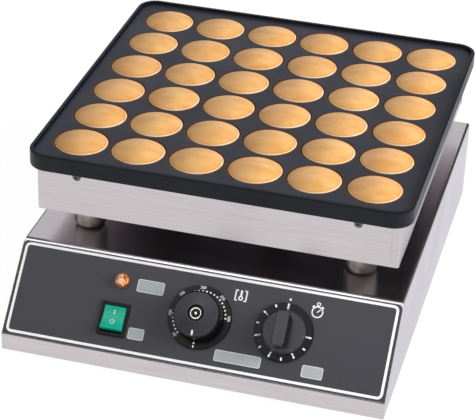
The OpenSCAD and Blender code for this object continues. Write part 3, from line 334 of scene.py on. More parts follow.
# Left, lower, right and upper edge of each label plate
labels = [(-62.3, 59.2, -37.4, 70.9), (-61.2, 15.8, -46.6, 26.1), (20.0, 10.3, 62.2, 20.6),
    (99.2, 10.1, 118.3, 21.0)]
fine_corner = 0.3
timer_mark_place = (77.1, 76.1)
timer_mark_r = 1.1
watch_place = (102.7, 69.1)
watch_r = 5.3
watch_line = 1.1
crown_r = 1.9
crown_line = 0.9
crown_up = 7.2
pusher_w = 2.6
pusher_h = 1.4
pusher_up = 6.2
pusher_turn = math.radians(42)
hand_w = 0.9
hand_l = 4.0
hand_up = 1.5
hand_turn = math.radians(-45)
thermometer_place = (32.6, 71.8)
bulb_r = 2.2
bulb_line = 1.2
bulb_down = 2.3
stem_w = 1.8
stem_h = 5.6
stem_corner = 0.8
stem_up = 2.2
bracket_line = 1.3
bracket_h = 10.4
bracket_corner = 0.6
bracket_side = 5.0
bracket_arm = 2.8
bracket_arm_side = 4.2


def on_panel(across, up, out=0.0):
    """Frame on the sloping panel, in millimetres: X across, Y up the slope, Z out of the panel."""
    turn = Matrix((Vector((1.0, 0.0, 0.0)), panel_up, panel_out)).transposed().to_4x4()
    foot = panel_origin + Vector((across, 0.0, 0.0)) + (up - dial_up) * panel_up + out * panel_out
    return Matrix.Translation(foot) @ turn


def moved(x, y, z=0.0):
    """A plain move, as a matrix."""
    return Matrix.Translation((x, y, z))


def stamp(bm, part, matrix):
    """Adds a part that is ready to a mesh."""
    mesh = bpy.data.meshes.new("part")
    bmesh.ops.transform(part, matrix=matrix, verts=part.verts)
    part.to_mesh(mesh)
    part.free()
    bm.from_mesh(mesh)
    bpy.data.meshes.remove(mesh)


def push_out(bm, faces, way):
    """Extrudes faces into a solid."""
    risen = bmesh.ops.extrude_face_region(bm, geom=faces, use_keep_orig=True)["geom"]
    bmesh.ops.translate(bm, vec=way, verts=[g for g in risen if isinstance(g, bmesh.types.BMVert)])


def thicken(bm, flat, thickness, line, matrix):
    """Thickens a flat outline, or only a line along its edge, and adds it to a mesh."""
    if line:
        inside = flat.faces[:]
        bmesh.ops.inset_region(flat, faces=inside, thickness=line, use_boundary=True, use_even_offset=True)
        bmesh.ops.delete(flat, geom=inside, context="FACES")
    push_out(flat, flat.faces[:], (0.0, 0.0, thickness))
    stamp(bm, flat, matrix)


def rounded_plate(bm, width, length, radius, thickness, matrix, line=None, steps=5):
    """A flat plate with round corners, or only a line along its edge."""
    flat = bmesh.new()
    bmesh.ops.create_grid(flat, x_segments=1, y_segments=1, size=0.5,
        matrix=Matrix.Diagonal((width, length, 1.0, 1.0)))
    bmesh.ops.bevel(flat, geom=flat.verts[:], offset=radius, offset_type="OFFSET", affect="VERTICES",
        segments=steps, profile=0.5, material=-1)
    thicken(bm, flat, thickness, line, matrix)


def round_plate(bm, radius, thickness, matrix, line=None, steps=32):
    """A flat disc, or only a line along its edge."""
    flat = bmesh.new()
    bmesh.ops.create_circle(flat, cap_ends=True, segments=steps, radius=radius)
    thicken(bm, flat, thickness, line, matrix)


def screen_ink(name, low, high):
    """Screen ink lies in a thin film that is nearly even, with a faint mesh mark."""
    made, tree, shader = start_material(name, Roughness=0.5, Specular_IOR_Level=0.3)
    mottled(tree, shader, mesh_mark, 2.0, low, high)
    return made


white_ink = screen_ink("white_screen_ink", "#f7f7f7", "#ffffff")
grey_ink = screen_ink("grey_screen_ink", "#a6adaf", "#b5bbbd")
pale_ink = screen_ink("pale_grey_screen_ink", "#dde1e1", "#e8ebeb")

bm = bmesh.new()
rounded_plate(bm, border_side, border_high - border_low, border_corner, ink_t,
    on_panel(0.0, (border_low + border_high) / 2, film_top), line=border_line)
round_plate(bm, timer_mark_r, ink_t, on_panel(*timer_mark_place, film_top), steps=20)
# Stopwatch: a ring with a crown, two pushers and a hand
watch = on_panel(*watch_place, film_top)
round_plate(bm, watch_r, ink_t, watch, line=watch_line)
round_plate(bm, crown_r, ink_t, watch @ moved(0.0, crown_up), line=crown_line, steps=20)
for turn in (-pusher_turn, pusher_turn):
    rounded_plate(bm, pusher_w, pusher_h, fine_corner, ink_t,
        watch @ Matrix.Rotation(turn, 4, "Z") @ moved(0.0, pusher_up))
rounded_plate(bm, hand_w, hand_l, fine_corner, ink_t,
    watch @ Matrix.Rotation(hand_turn, 4, "Z") @ moved(0.0, hand_up))
# Thermometer: a bulb and a stem between two brackets
glass = on_panel(*thermometer_place, film_top)
round_plate(bm, bulb_r, ink_t, glass @ moved(0.0, -bulb_down), line=bulb_line, steps=20)
rounded_plate(bm, stem_w, stem_h, stem_corner, ink_t, glass @ moved(0.0, stem_up))
for side in (-1, 1):
    rounded_plate(bm, bracket_line, bracket_h, bracket_corner, ink_t,
        glass @ moved(side * bracket_side, 0.0))
    for end in (-1, 1):
        rounded_plate(bm, bracket_arm, bracket_line, bracket_corner, ink_t,
            glass @ moved(side * bracket_arm_side, end * (bracket_h - bracket_line) / 2))
make_piece("overlay_white_print", bm, white_ink, "frame", "overlay_film")

bm = bmesh.new()
edges = bmesh.new()
for left, low, right, high in labels:
    middle = on_panel((left + right) / 2, (low + high) / 2, film_top)
    rounded_plate(bm, right - left, high - low, label_corner, ink_t, middle)
    rounded_plate(edges, right - left, high - low, label_corner, label_edge_t, middle, line=label_line)
make_piece("label_plates", bm, grey_ink, "frame", "overlay_film")
make_piece("label_plate_edges", edges, pale_ink, "frame", "overlay_film")

# Rocker switch: a glass-filled nylon bezel and body that snaps into the panel, and a green
# polycarbonate rocker with a dished face that pivots in it. A pale green I and O are printed on its face.
bezel_round = 0.5
rocker_w = 20.0
rocker_l = 21.6
rocker_up = 6.2
rocker_dip = 1.8
rocker_waist = 0.5
rocker_down = 5.0
rocker_foot = 2.3
rocker_round = 0.7
rocker_tilt = math.radians(11)
dish_steps = 4
switch_across = 1000 * joints["rocker_tip"]["pos_m"][0]
switch_up = 30.6
pivot_out = -1.0
stroke_w = 1.0
stroke_l = 4.0
stroke_t = 0.12
stroke_place = 5.4
circle_r = 2.2
circle_line = 0.6
circle_t = 0.16
circle_place = -3.888
plastic_grain = 0.6


def moulded_plastic(name, low, high, roughness, **constants):
    """Moulded plastic keeps the fine spark-eroded grain of its mould."""
    made, tree, shader = start_material(name, Roughness=roughness, **constants)
    grain = mottled(tree, shader, plastic_grain, 2.0, low, high)
    bump = add_node(tree, "ShaderNodeBump", {"Height": grain, "Strength": 0.3, "Distance": 0.00005})
    tree.links.new(bump.outputs[0], shader.inputs["Normal"])
    return made


def on_rocker(along):
    """Frame on the dished face: X across, Y along the rocker, Z out of the face."""
    height = rocker_up - rocker_dip * (1 - (2 * along / rocker_l) ** 2)
    lean = math.atan(8 * rocker_dip * along / rocker_l ** 2)
    return moved(0.0, along, height) @ Matrix.Rotation(lean, 4, "X")


black_nylon = moulded_plastic("black_glass_filled_nylon", "#111113", "#18181b", 0.4,
    Specular_IOR_Level=0.25)
bm = solid_copy("switch_body")
soften(bm, bezel_round)
make_piece("switch_bezel", bm, black_nylon, "frame", "black_plastic", "switch_body")

green_rocker = moulded_plastic("green_polycarbonate", "#05a285", "#0abb9b", 0.3, Specular_IOR_Level=0.35,
    Subsurface_Weight=0.15, Subsurface_Radius=(0.001, 0.004, 0.002))
pivot = on_panel(switch_across, switch_up, pivot_out) @ Matrix.Rotation(-rocker_tilt, 4, "X")
half_l = rocker_l / 2
outline = [on_rocker(half_l * step / dish_steps).translation.yz
    for step in range(-dish_steps, dish_steps + 1)]
outline += [(half_l, rocker_waist), (half_l - rocker_foot, -rocker_down),
    (rocker_foot - half_l, -rocker_down), (-half_l, rocker_waist)]
bm = bmesh.new()
flank = bm.faces.new([bm.verts.new((-rocker_w / 2, along, height)) for along, height in outline])
push_out(bm, [flank], (rocker_w, 0.0, 0.0))
bmesh.ops.recalc_face_normals(bm, faces=bm.faces)
soften(bm, rocker_round, segments=4)
bmesh.ops.transform(bm, matrix=pivot, verts=bm.verts)
make_piece("rocker_cap", bm, green_rocker, "switch_rocker", "green_plastic", "switch_rocker")

rocker_ink = screen_ink("pale_green_ink", "#c4e6da", "#d6efe6")
bm = bmesh.new()
rounded_plate(bm, stroke_w, stroke_l, fine_corner, stroke_t, pivot @ on_rocker(stroke_place))
round_plate(bm, circle_r, circle_t, pivot @ on_rocker(circle_place), line=circle_line)
make_piece("rocker_marks", bm, rocker_ink, "switch_rocker", "green_plastic")

# Pilot lamp: an amber lens cut with facets like a jewel, moulded in clear acrylic, and painted with glints:
# pale cream cells among darker amber ones. It sits on a red-brown holder that its nut clamps through the
# panel.
lamp_low, lamp_high = (1000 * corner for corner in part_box("lamp_lens"))
lamp_across = (lamp_low.x + lamp_high.x) / 2
lamp_up = 66.5
lens_foot = 1.7
lens_outline = [(0.0, 0.0), (6.3, 0.0), (6.3, 1.2), (5.3, 3.7), (3.2, 5.1), (2.6, 5.1), (2.2, 5.5),
    (0.0, 5.5)]
lens_facets = 11
glint_cell_size = 2.6


def turned(bm, profile, matrix, steps=72):
    """Spins an outline of (radius, height) points about Z."""
    part = bmesh.new()
    points = [part.verts.new((r, 0.0, z)) for r, z in profile]
    lines = [part.edges.new(pair) for pair in zip(points, points[1:])]
    bmesh.ops.spin(part, geom=points + lines, cent=(0.0, 0.0, 0.0), axis=(0.0, 0.0, 1.0), angle=2 * math.pi,
        steps=steps, use_merge=True)
    bmesh.ops.remove_doubles(part, verts=part.verts, dist=0.001)
    bmesh.ops.recalc_face_normals(part, faces=part.faces)
    stamp(bm, part, matrix)


red_plastic = moulded_plastic("red_brown_polycarbonate", "#6e2413", "#83301c", 0.3)
finish_nodes(red_plastic, "lamp_holder")
amber, tree, shader = start_material("amber_acrylic", Roughness=0.08, IOR=1.49, Coat_Weight=0.8,
    Subsurface_Weight=0.2, Subsurface_Radius=(0.003, 0.0015, 0.0006))
place = add_node(tree, "ShaderNodeTexCoord").outputs["Object"]
# Pale cream cells among darker amber ones are painted glints on the lens.
painted_glint_cells = add_node(tree, "ShaderNodeTexVoronoi", {"Vector": place, "Scale": 1000 / glint_cell_size})
painted_glint_share = add_node(tree, "ShaderNodeSeparateColor", {0: painted_glint_cells.outputs["Color"]})
tone = add_node(tree, "ShaderNodeValToRGB", {0: painted_glint_share.outputs[0]},
    stops=[(0.1, "#9a4116"), (0.5, "#d27735"), (0.9, "#f2c594")])
tree.links.new(tone.outputs[0], shader.inputs["Base Color"])
bm = bmesh.new()
turned(bm, lens_outline, on_panel(lamp_across, lamp_up, lens_foot), steps=lens_facets)
make_piece("lamp_jewel", bm, amber, "frame", "amber_plastic", "lamp_lens", sharp=4.0)

# Thermostat dial: a fixed scale ring and a turning cap, both moulded in black ABS and filled with
# white marks, and a bare bright badge pressed into a well in the cap. The cap's face is satin, painted
# lighter than the gloss black as a painted sheen, and its side and well take the gloss black as painted
# shade.
ring_r = 29.0
ring_bore = 4.8
ring_h = 2.5
dial_round = 0.5
cap_r = 22.0
cap_bore = 3.05
cap_foot = 3.3
cap_side_h = 12.5
cap_h = 17.5
cap_draft = 0.8
cap_edge = 1.4
well_r = 7.6
well_draft = 0.5
well_depth = 2.2
badge_r = 5.3
badge_t = 1.5
badge_ring = 1.3
badge_round = 0.4
badge_edge = 0.3
badge_dot_r = 1.3
inlay_t = 0.5
inlay_crown = 0.7
pointer_w = 1.7
pointer_l = 4.8
pointer_corner = 0.8
pointer_t = 0.2
scale_step = math.radians(44)
scale_words = ["50", "100", "150", "200", "250", "300"]
scale_word_h = 2.5
scale_word_r = 26.7
scale_dots = 5
scale_dot = 1.65
scale_dot_corner = 0.5
scale_dot_r = 23.7
zero_dot = 0.9
zero_dot_r = 24.0
zero_bar_w = 1.1
zero_bar_l = 2.4
zero_bar_r = 27.0
turning_mark = 0.7
capital_share = 0.7


def lettering(bm, words, height, thickness, matrix, bold=0.05):
    """Plain upright numbers, as a mesh."""
    curve = bpy.data.curves.new("number", "FONT")
    curve.body = words
    curve.size = height / capital_share
    curve.align_x = "CENTER"
    curve.align_y = "CENTER"
    curve.extrude = thickness / 2
    curve.offset = bold
    curve.resolution_u = 3
    words_object = bpy.data.objects.new("number", curve)
    mesh = bpy.data.meshes.new_from_object(words_object)
    mesh.transform(matrix @ moved(0.0, 0.0, thickness / 2))
    bm.from_mesh(mesh)
    bpy.data.objects.remove(words_object)
    bpy.data.curves.remove(curve)
    bpy.data.meshes.remove(mesh)


def round_dial(centre, angle, radius, out):
    """Place on a dial, clockwise from six o'clock, with its upper side towards the rim."""
    return centre @ Matrix.Rotation(math.pi - angle, 4, "Z") @ moved(0.0, radius, out)


gloss_abs = moulded_plastic("gloss_black_abs", "#09090b", "#0e0e10", 0.34, Specular_IOR_Level=0.3)
# The satin black's base is painted lighter than the gloss black: a painted sheen on every satin face.
sheen_painted_satin_abs = moulded_plastic("satin_black_abs_painted_sheen", "#2b2b31", "#37373e", 0.42, Specular_IOR_Level=0.8)
dial_ink = screen_ink("white_dial_filling", "#f4f4f4", "#fdfdfd")
dial = on_panel(0.0, dial_up)

ring_top = film_top + ring_h
bm = bmesh.new()
turned(bm, [(ring_bore, film_top), (ring_r, film_top), (ring_r, ring_top), (ring_bore, ring_top),
    (ring_bore, film_top)], Matrix())
soften(bm, dial_round)
bmesh.ops.transform(bm, matrix=dial, verts=bm.verts)
make_piece("scale_ring", bm, gloss_abs, "frame", "black_plastic", "thermostat_scale_ring")

bm = bmesh.new()
for i, words in enumerate(scale_words):
    number_angle = (i + 1) * scale_step
    lettering(bm, words, scale_word_h, ink_t, round_dial(dial, number_angle, scale_word_r, ring_top))
    for share in range(scale_dots):
        angle = number_angle + share / scale_dots * scale_step
        if i < len(scale_words) - 1 or share == 0:
            rounded_plate(bm, scale_dot, scale_dot, scale_dot_corner, ink_t,
                round_dial(dial, angle, scale_dot_r, ring_top))
round_plate(bm, zero_dot, ink_t, round_dial(dial, 0.0, zero_dot_r, ring_top), steps=14)
rounded_plate(bm, zero_bar_w, zero_bar_l, fine_corner, ink_t, round_dial(dial, 0.0, zero_bar_r, ring_top))
make_piece("scale_marks", bm, dial_ink, "frame", "black_plastic")

edge_r = cap_r - cap_draft - cap_edge
edge_h = cap_side_h + cap_edge
brow_r = well_r + cap_edge
well_floor = cap_h - well_depth
gloss_and_shade_below = cap_foot + edge_h - 0.2
gloss_and_shade_within = well_r - 0.1
bm = bmesh.new()
turned(bm, [(cap_bore, 0.0), (cap_r, 0.0), (cap_r - cap_draft, cap_side_h), (edge_r, edge_h),
    (brow_r, cap_h), (well_r, cap_h), (well_r - well_draft, well_floor), (0.0, well_floor)],
    moved(0.0, 0.0, cap_foot))
soften(bm, dial_round, limit=20.0)
# Below the cap's edge and inside the well the faces take the darker gloss black: a gloss finish, and painted
# shade on the side and in the well.
for f in bm.faces:
    middle = f.calc_center_median()
    f.material_index = 1 if middle.z < gloss_and_shade_below or middle.xy.length < gloss_and_shade_within else 0
bmesh.ops.transform(bm, matrix=dial, verts=bm.verts)
cap = make_piece("thermostat_cap", bm, sheen_painted_satin_abs, "thermostat_knob", "black_plastic", "thermostat_knob")
cap.data.materials.append(gloss_abs)

cap_fall = math.atan2(cap_h - edge_h, edge_r - brow_r)
pointer_r = edge_r - pointer_l / 2
pointer_up = cap_foot + edge_h + (edge_r - pointer_r) * math.tan(cap_fall)
bm = bmesh.new()
rounded_plate(bm, pointer_w, pointer_l, pointer_corner, pointer_t,
    dial @ moved(0.0, -pointer_r, pointer_up) @ Matrix.Rotation(cap_fall, 4, "X"))
make_piece("thermostat_pointer", bm, dial_ink, "thermostat_knob", "black_plastic")

badge_metal, tree, shader = start_material("turned_aluminium", Metallic=1.0, Roughness=0.22)
mottled(tree, shader, turning_mark, 2.0, "#d8d8da", "#ececee")
badge_bore = badge_r - badge_ring
badge_foot = dial @ moved(0.0, 0.0, cap_foot + well_floor)
bm = bmesh.new()
turned(bm, [(badge_bore, 0.0), (badge_r, 0.0), (badge_r, badge_t - badge_edge),
    (badge_r - badge_round, badge_t), (badge_bore + badge_edge, badge_t), (badge_bore, badge_t - badge_edge),
    (badge_bore, 0.0)], badge_foot)
turned(bm, [(0.0, inlay_crown), (badge_dot_r, inlay_crown), (badge_dot_r, badge_t - badge_edge),
    (badge_dot_r - badge_edge, badge_t), (0.0, badge_t)], badge_foot, steps=24)
make_piece("thermostat_badge_ring", bm, badge_metal, "thermostat_knob", "bright_badge", "thermostat_badge")
bm = bmesh.new()
turned(bm, [(0.0, 0.0), (badge_bore, 0.0), (badge_bore, inlay_t), (0.0, inlay_crown)], badge_foot)
make_piece("thermostat_badge_inlay", bm, gloss_abs, "thermostat_knob", "bright_badge")

# Timer dial: one black ABS moulding with a glossy scale skirt, a satin shoulder and a bar grip with ribbed
# glossy sides, all turning together. The grip's darker glossy sides are painted shade, and the satin's
# lighter base is a painted sheen. Its ticks and numbers run against the clock and are filled with white.
skirt_r = 26.5
skirt_bore = 3.05
skirt_foot = 1.1
skirt_h = 2.6
skirt_round = 0.6
shoulder_r = 20.2
shoulder_top_r = 17.5
shoulder_h = 6.0
grip_w = 12.0
grip_l = 31.0
grip_h = 12.0
grip_corner = 3.5
grip_round = 0.8
grip_sunk = 0.5
ribs = 6
rib_r = 0.9
rib_pitch = 4.2
rib_h = 10.5
rib_round = 0.3
rib_facing = 0.5
timer_across = 1000 * joints["timer_turn"]["pos_m"][0]
timer_step = math.radians(26.7)
timer_ticks = 11
tick_w = 1.6
tick_corner = 0.4
plain_tick_l = 2.7
plain_tick_r = 24.4
number_tick_l = 2.4
number_tick_r = 24.6
timer_number_h = 2.8
timer_number_r = 21.9
timer_number_bold = 0.12


def block(bm, width, length, height, middle):
    """Adds a block, by its sizes and its middle."""
    bmesh.ops.create_cube(bm, size=1.0,
        matrix=moved(*middle) @ Matrix.Diagonal((width, length, height, 1.0)))


def round_upright(bm, radius, segments):
    """Rounds a block's upright edges, which rise by more than a millimetre."""
    upright = [e for e in bm.edges if abs((e.verts[0].co - e.verts[1].co).z) > 1.0]
    bmesh.ops.bevel(bm, geom=upright, offset=radius, offset_type="OFFSET", affect="EDGES", segments=segments,
        profile=0.5, material=-1)


timer = on_panel(timer_across, dial_up)
shoulder_foot = skirt_foot + skirt_h
shoulder_top = shoulder_foot + shoulder_h
bm = bmesh.new()
turned(bm, [(skirt_bore, skirt_foot), (skirt_r, skirt_foot), (skirt_r, shoulder_foot),
    (skirt_bore, shoulder_foot), (skirt_bore, skirt_foot)], Matrix())
soften(bm, skirt_round)
bmesh.ops.transform(bm, matrix=timer, verts=bm.verts)
make_piece("timer_skirt", bm, gloss_abs, "timer_knob", "black_plastic", "timer_knob")

gloss_and_shade_above = shoulder_top + 0.2
bm = bmesh.new()
turned(bm, [(0.0, shoulder_foot), (shoulder_r, shoulder_foot), (shoulder_top_r, shoulder_top),
    (0.0, shoulder_top)], Matrix())
soften(bm, skirt_round)
bar = bmesh.new()
block(bar, grip_w, grip_l, grip_h + grip_sunk, (0.0, 0.0, shoulder_top + (grip_h - grip_sunk) / 2))
round_upright(bar, grip_corner, 5)
soften(bar, grip_round)
stamp(bm, bar, Matrix())
for side in (-1, 1):
    for i in range(ribs):
        rib = bmesh.new()
        bmesh.ops.create_cone(rib, cap_ends=True, segments=20, radius1=rib_r, radius2=rib_r, depth=rib_h)
        soften(rib, rib_round)
        stamp(bm, rib, moved(side * grip_w / 2, (i - (ribs - 1) / 2) * rib_pitch,
            shoulder_top + rib_h / 2 - grip_sunk))
bmesh.ops.recalc_face_normals(bm, faces=bm.faces)
# The grip's ribbed sides take the darker gloss black: painted shade on them.
for f in bm.faces:
    f.material_index = 1 if f.calc_center_median().z > gloss_and_shade_above and abs(f.normal.x) > rib_facing else 0
bmesh.ops.transform(bm, matrix=timer, verts=bm.verts)
grip = make_piece("timer_grip", bm, sheen_painted_satin_abs, "timer_knob", "black_plastic")
grip.data.materials.append(gloss_abs)

bm = bmesh.new()
for i in range(timer_ticks):
    angle = math.pi - i * timer_step
    if i % 2:
        rounded_plate(bm, tick_w, plain_tick_l, tick_corner, ink_t,
            round_dial(timer, angle, plain_tick_r, shoulder_foot))
    else:
        rounded_plate(bm, tick_w, number_tick_l, tick_corner, ink_t,
            round_dial(timer, angle, number_tick_r, shoulder_foot))
        lettering(bm, str(i // 2), timer_number_h, ink_t,
            round_dial(timer, angle, timer_number_r, shoulder_foot), bold=timer_number_bold)
make_piece("timer_marks", bm, dial_ink, "timer_knob", "black_plastic")

# Spacer posts and wire conduit: stainless bar and tube, turned to length and polished. The posts round
# off towards the deck like bowls, and fine turning rings show on their sides.
post_low, post_high = (1000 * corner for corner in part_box("spacer_posts"))
post_r = 15.0
post_foot_r = 10.5
post_bowl = 7.0
ring_pitch = 0.5
ring_run = 125.0

polished, tree, shader = start_material("polished_stainless_steel", Metallic=1.0, Roughness=0.36)
place = add_node(tree, "ShaderNodeTexCoord").outputs["Object"]
stretched = add_node(tree, "ShaderNodeMapping", {"Vector": place,
    "Scale": (1000 / ring_run, 1000 / ring_run, 1000 / ring_pitch)})
rings = add_node(tree, "ShaderNodeTexNoise", {"Vector": stretched.outputs[0], "Scale": 1.0, "Detail": 2.0})
tone = add_node(tree, "ShaderNodeValToRGB", {0: rings.outputs[0]},
    stops=[(0.3, "#cfc7c0"), (0.7, "#e2dbd5")])
tree.links.new(tone.outputs[0], shader.inputs["Base Color"])
finish_nodes(polished, "wire_conduit")
post_h = post_high.z - post_low.z
bowl = [(post_foot_r + (post_r - post_foot_r) * math.sin(t), post_bowl * (1 - math.cos(t)))
    for t in (math.radians(turn) for turn in range(0, 91, 15))]
bm = bmesh.new()
for across in (post_low.x + post_r, post_high.x - post_r):
    for along in (post_low.y + post_r, post_high.y - post_r):
        turned(bm, [(0.0, 0.0)] + bowl + [(post_r, post_h), (0.0, post_h)],
            moved(across, along, post_low.z))
make_piece("turned_posts", bm, polished, "frame", "polished_steel", "spacer_posts")

# Heater box: a stainless tray with walls folded up and lapped at the corners, held to the plate by
# small screws whose zinc is painted dark, as painted shade under the plate's edge.
box_low, box_high = (1000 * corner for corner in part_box("heater_box"))
box_corner = 2.5
lap_w = 5.0
lap_t = 0.4
lap_gap = 0.5
lap_round = 0.25

lap_h = box_high.z - box_low.z - 2 * lap_gap
box_middle = (box_low + box_high) / 2
bm = solid_copy("heater_box")
soften(bm, fold_round, longer=long_edge)
for quarter in range(4):
    lap = bmesh.new()
    block(lap, lap_w, 2 * lap_t, lap_h, (box_high.x - box_corner - lap_w / 2, -box_high.x, 0.0))
    soften(lap, lap_round)
    stamp(bm, lap, moved(*box_middle) @ Matrix.Rotation(quarter * math.pi / 2, 4, "Z"))
make_piece("folded_heater_box", bm, stainless, "frame", "stainless_sheet", "heater_box")


def cloudy_metal(name, low, high, roughness, cloud):
    """Bare metal with a tarnish in clouds of so many millimetres."""
    made, tree, shader = start_material(name, Metallic=1.0, Roughness=roughness)
    mottled(tree, shader, cloud, 4.0, low, high)
    return made


# The box screws' dark zinc is painted shade under the plate's edge.
finish_nodes(cloudy_metal("zinc_painted_dark_for_shade", "#55565a", "#7b7c80", 0.35, 3.0), "box_screws")

# Inside the heater box: a ceramic fibre blanket, a bright reflector, three tubular elements and the
# thermostat's copper bulb and capillary. Brass tabs, terminals and the earth screw have the same kind of
# cloudy tarnish.
wool_tuft = 3.0

fibre, tree, shader = start_material("ceramic_fibre_blanket", Roughness=1.0, Specular_IOR_Level=0.1)
wool = mottled(tree, shader, wool_tuft, 6.0, "#d8d2c2", "#f0ebdf")
bump = add_node(tree, "ShaderNodeBump", {"Height": wool, "Strength": 0.8, "Distance": 0.0008})
tree.links.new(bump.outputs[0], shader.inputs["Normal"])
finish_nodes(fibre, "insulation_blanket")

finish_nodes(cloudy_metal("bright_aluminium_sheet", "#b9bbbe", "#d0d2d4", 0.25, 30.0), "heat_reflector")
finish_nodes(cloudy_metal("heat_tinted_steel", "#4b443d", "#6d675f", 0.45, 20.0), "heating_elements")
finish_nodes(cloudy_metal("drawn_copper", "#a8623a", "#c98a5e", 0.3, 10.0),
    "thermostat_bulb", "thermostat_capillary")
finish_nodes(cloudy_metal("brass", "#b08d45", "#cfae62", 0.32, 6.0),
    "switch_tabs", "terminal_inserts", "earth_screw")

# Griddle plate: one aluminium casting with a rim, cups and fixing lugs, sprayed with a dark non-stick
# coat. Its face between the cups is painted lighter as a painted sheen, and oil and batter leave a brown
# ring round each cup.
plate_low, plate_high = (1000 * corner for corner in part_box("griddle_plate"))
plate_side = plate_high.x - plate_low.x
plate_middle = Vector((0.0, (plate_low.y + plate_high.y) / 2, 0.0))
plate_foot = box_high.z
rim_top = plate_high.z
rim_h = 3.0
land = rim_top - rim_h
plate_corner = 19.0
edge_round = 1.2
# The rim's inner side, from its top to the land: how far in each step goes, and how far up
rim_steps = [(2.2, 0.0), (0.25, -0.25), (0.3, -2.0), (0.2, -0.45), (0.3, -0.22), (0.45, -0.08)]
cups = 6
cup_pitch = 54.25
cup_field = cups * cup_pitch / 2
cup_r = 25.25
cup_depth = 9.0
cup_margin = 1.6
mouth_r = 0.9
mouth_bend_r = 0.36
mouth_bend_drop = 0.12
mouth_drop = 0.42
dish_shares = (0.97, 0.93, 0.85, 0.75, 0.6, 0.45, 0.3, 0.15)
ball_r = (cup_r ** 2 + cup_depth ** 2) / (2 * cup_depth)
cell_cuts = 11
lug_w = 14.0
lug_t = 9.0
lug_h = 13.0
lug_x = 129.0
lug_inset = 14.8
lug_y = plate_side / 2 - lug_inset
boss_r = 7.0
boss_h = 8.6
boss_y = 60.0
coat_grain = 1.1
coat_patch = 50.0

coated, tree, shader = start_material("non_stick_coated_aluminium", IOR=1.36)
place = add_node(tree, "ShaderNodeTexCoord").outputs["Object"]
soot = add_node(tree, "ShaderNodeAttribute", attribute_name="soot").outputs["Fac"]
land_sheen = add_node(tree, "ShaderNodeAttribute", attribute_name="land_sheen").outputs["Fac"]
peel, patch = [add_node(tree, "ShaderNodeTexNoise",
    {"Vector": place, "Scale": 1000 / size, "Detail": 3.0}).outputs[0] for size in (coat_grain, coat_patch)]
sprayed = add_node(tree, "ShaderNodeValToRGB", {0: peel}, stops=[(0.3, "#080a13"), (0.7, "#0d101c")])
painted_sheen_tone = add_node(tree, "ShaderNodeValToRGB", {0: peel}, stops=[(0.3, "#1d1f2b"), (0.7, "#272935")])
# The flat face between the cups is painted lighter: a painted sheen.
coat_with_painted_sheen = add_node(tree, "ShaderNodeMix", {0: land_sheen, 6: sprayed.outputs[0], 7: painted_sheen_tone.outputs[0]},
    data_type="RGBA")
ringed = add_node(tree, "ShaderNodeMix", {0: soot, 6: coat_with_painted_sheen.outputs[2], 7: tint("#47290f")},
    data_type="RGBA")
tree.links.new(ringed.outputs[2], shader.inputs["Base Color"])
dull = add_node(tree, "ShaderNodeMapRange", {"Value": patch,
    "From Min": 0.3, "From Max": 0.7, "To Min": 0.4, "To Max": 0.5})
tree.links.new(dull.outputs[0], shader.inputs["Roughness"])
bump = add_node(tree, "ShaderNodeBump", {"Height": peel, "Strength": 0.4, "Distance": 0.0001})
tree.links.new(bump.outputs[0], shader.inputs["Normal"])

# The casting's block: round corners, and a rim whose inner side drops steeply to a small fillet
bm = bmesh.new()
block(bm, plate_side, plate_side, rim_top - plate_foot, (0.0, 0.0, (plate_foot + rim_top) / 2))
round_upright(bm, plate_corner, 12)
outer_rings = [e for e in bm.edges if abs(e.verts[0].co.z - e.verts[1].co.z) < 0.01]
bmesh.ops.bevel(bm, geom=outer_rings, offset=edge_round, offset_type="OFFSET", affect="EDGES", segments=4,
    profile=0.5, material=-1)
top = max(bm.faces, key=lambda f: f.calc_area() if f.calc_center_median().z > rim_top - 0.1 else 0.0)
for inwards, up in rim_steps:
    bmesh.ops.inset_region(bm, faces=[top], thickness=inwards, depth=up, use_even_offset=True)
bmesh.ops.delete(bm, geom=[top], context="FACES_ONLY")

# The cupped land: a square cell round each cup, whose inner rings are drawn down into the dish
slope = math.asin(cup_r / ball_r)
dish = [(cup_r + cup_margin, 0.0), (cup_r + mouth_r, 0.0), (cup_r + mouth_bend_r, -mouth_bend_drop),
    (cup_r, -mouth_drop)]
dish += [(ball_r * math.sin(t), ball_r * (math.cos(slope) - math.cos(t)))
    for t in (slope * share for share in dish_shares)]
cupped = bmesh.new()
bmesh.ops.create_grid(cupped, x_segments=cups, y_segments=cups, size=cup_field,
    matrix=moved(0.0, 0.0, land))
cells = cupped.faces[:]
bmesh.ops.bisect_edges(cupped, edges=cupped.edges[:], cuts=cell_cuts)
for cup in cells:
    middle = cup.calc_center_median()
    for radius, depth in dish:
        bmesh.ops.inset_individual(cupped, faces=[cup], thickness=0.01)
        for v in cup.verts:
            out = (v.co - middle).xy.normalized() * radius
            v.co = (middle.x + out.x, middle.y + out.y, land + depth)
stamp(bm, cupped, Matrix())
bmesh.ops.bridge_loops(bm, edges=[e for e in bm.edges if e.is_boundary])

# Fixing lugs and clamp bosses under the plate
for side_x in (-1, 1):
    for side_y in (-1, 1):
        block(bm, lug_w, lug_t, lug_h, (side_x * lug_x, side_y * lug_y, plate_foot - lug_h / 2))
        bmesh.ops.create_cone(bm, cap_ends=True, segments=24, radius1=boss_r, radius2=boss_r, depth=boss_h,
            matrix=moved(side_x * cup_pitch, side_y * boss_y, plate_foot - boss_h / 2))
bmesh.ops.translate(bm, vec=plate_middle, verts=bm.verts)
casting = make_piece("griddle_casting", bm, coated, "frame", "coated_casting", "griddle_plate")

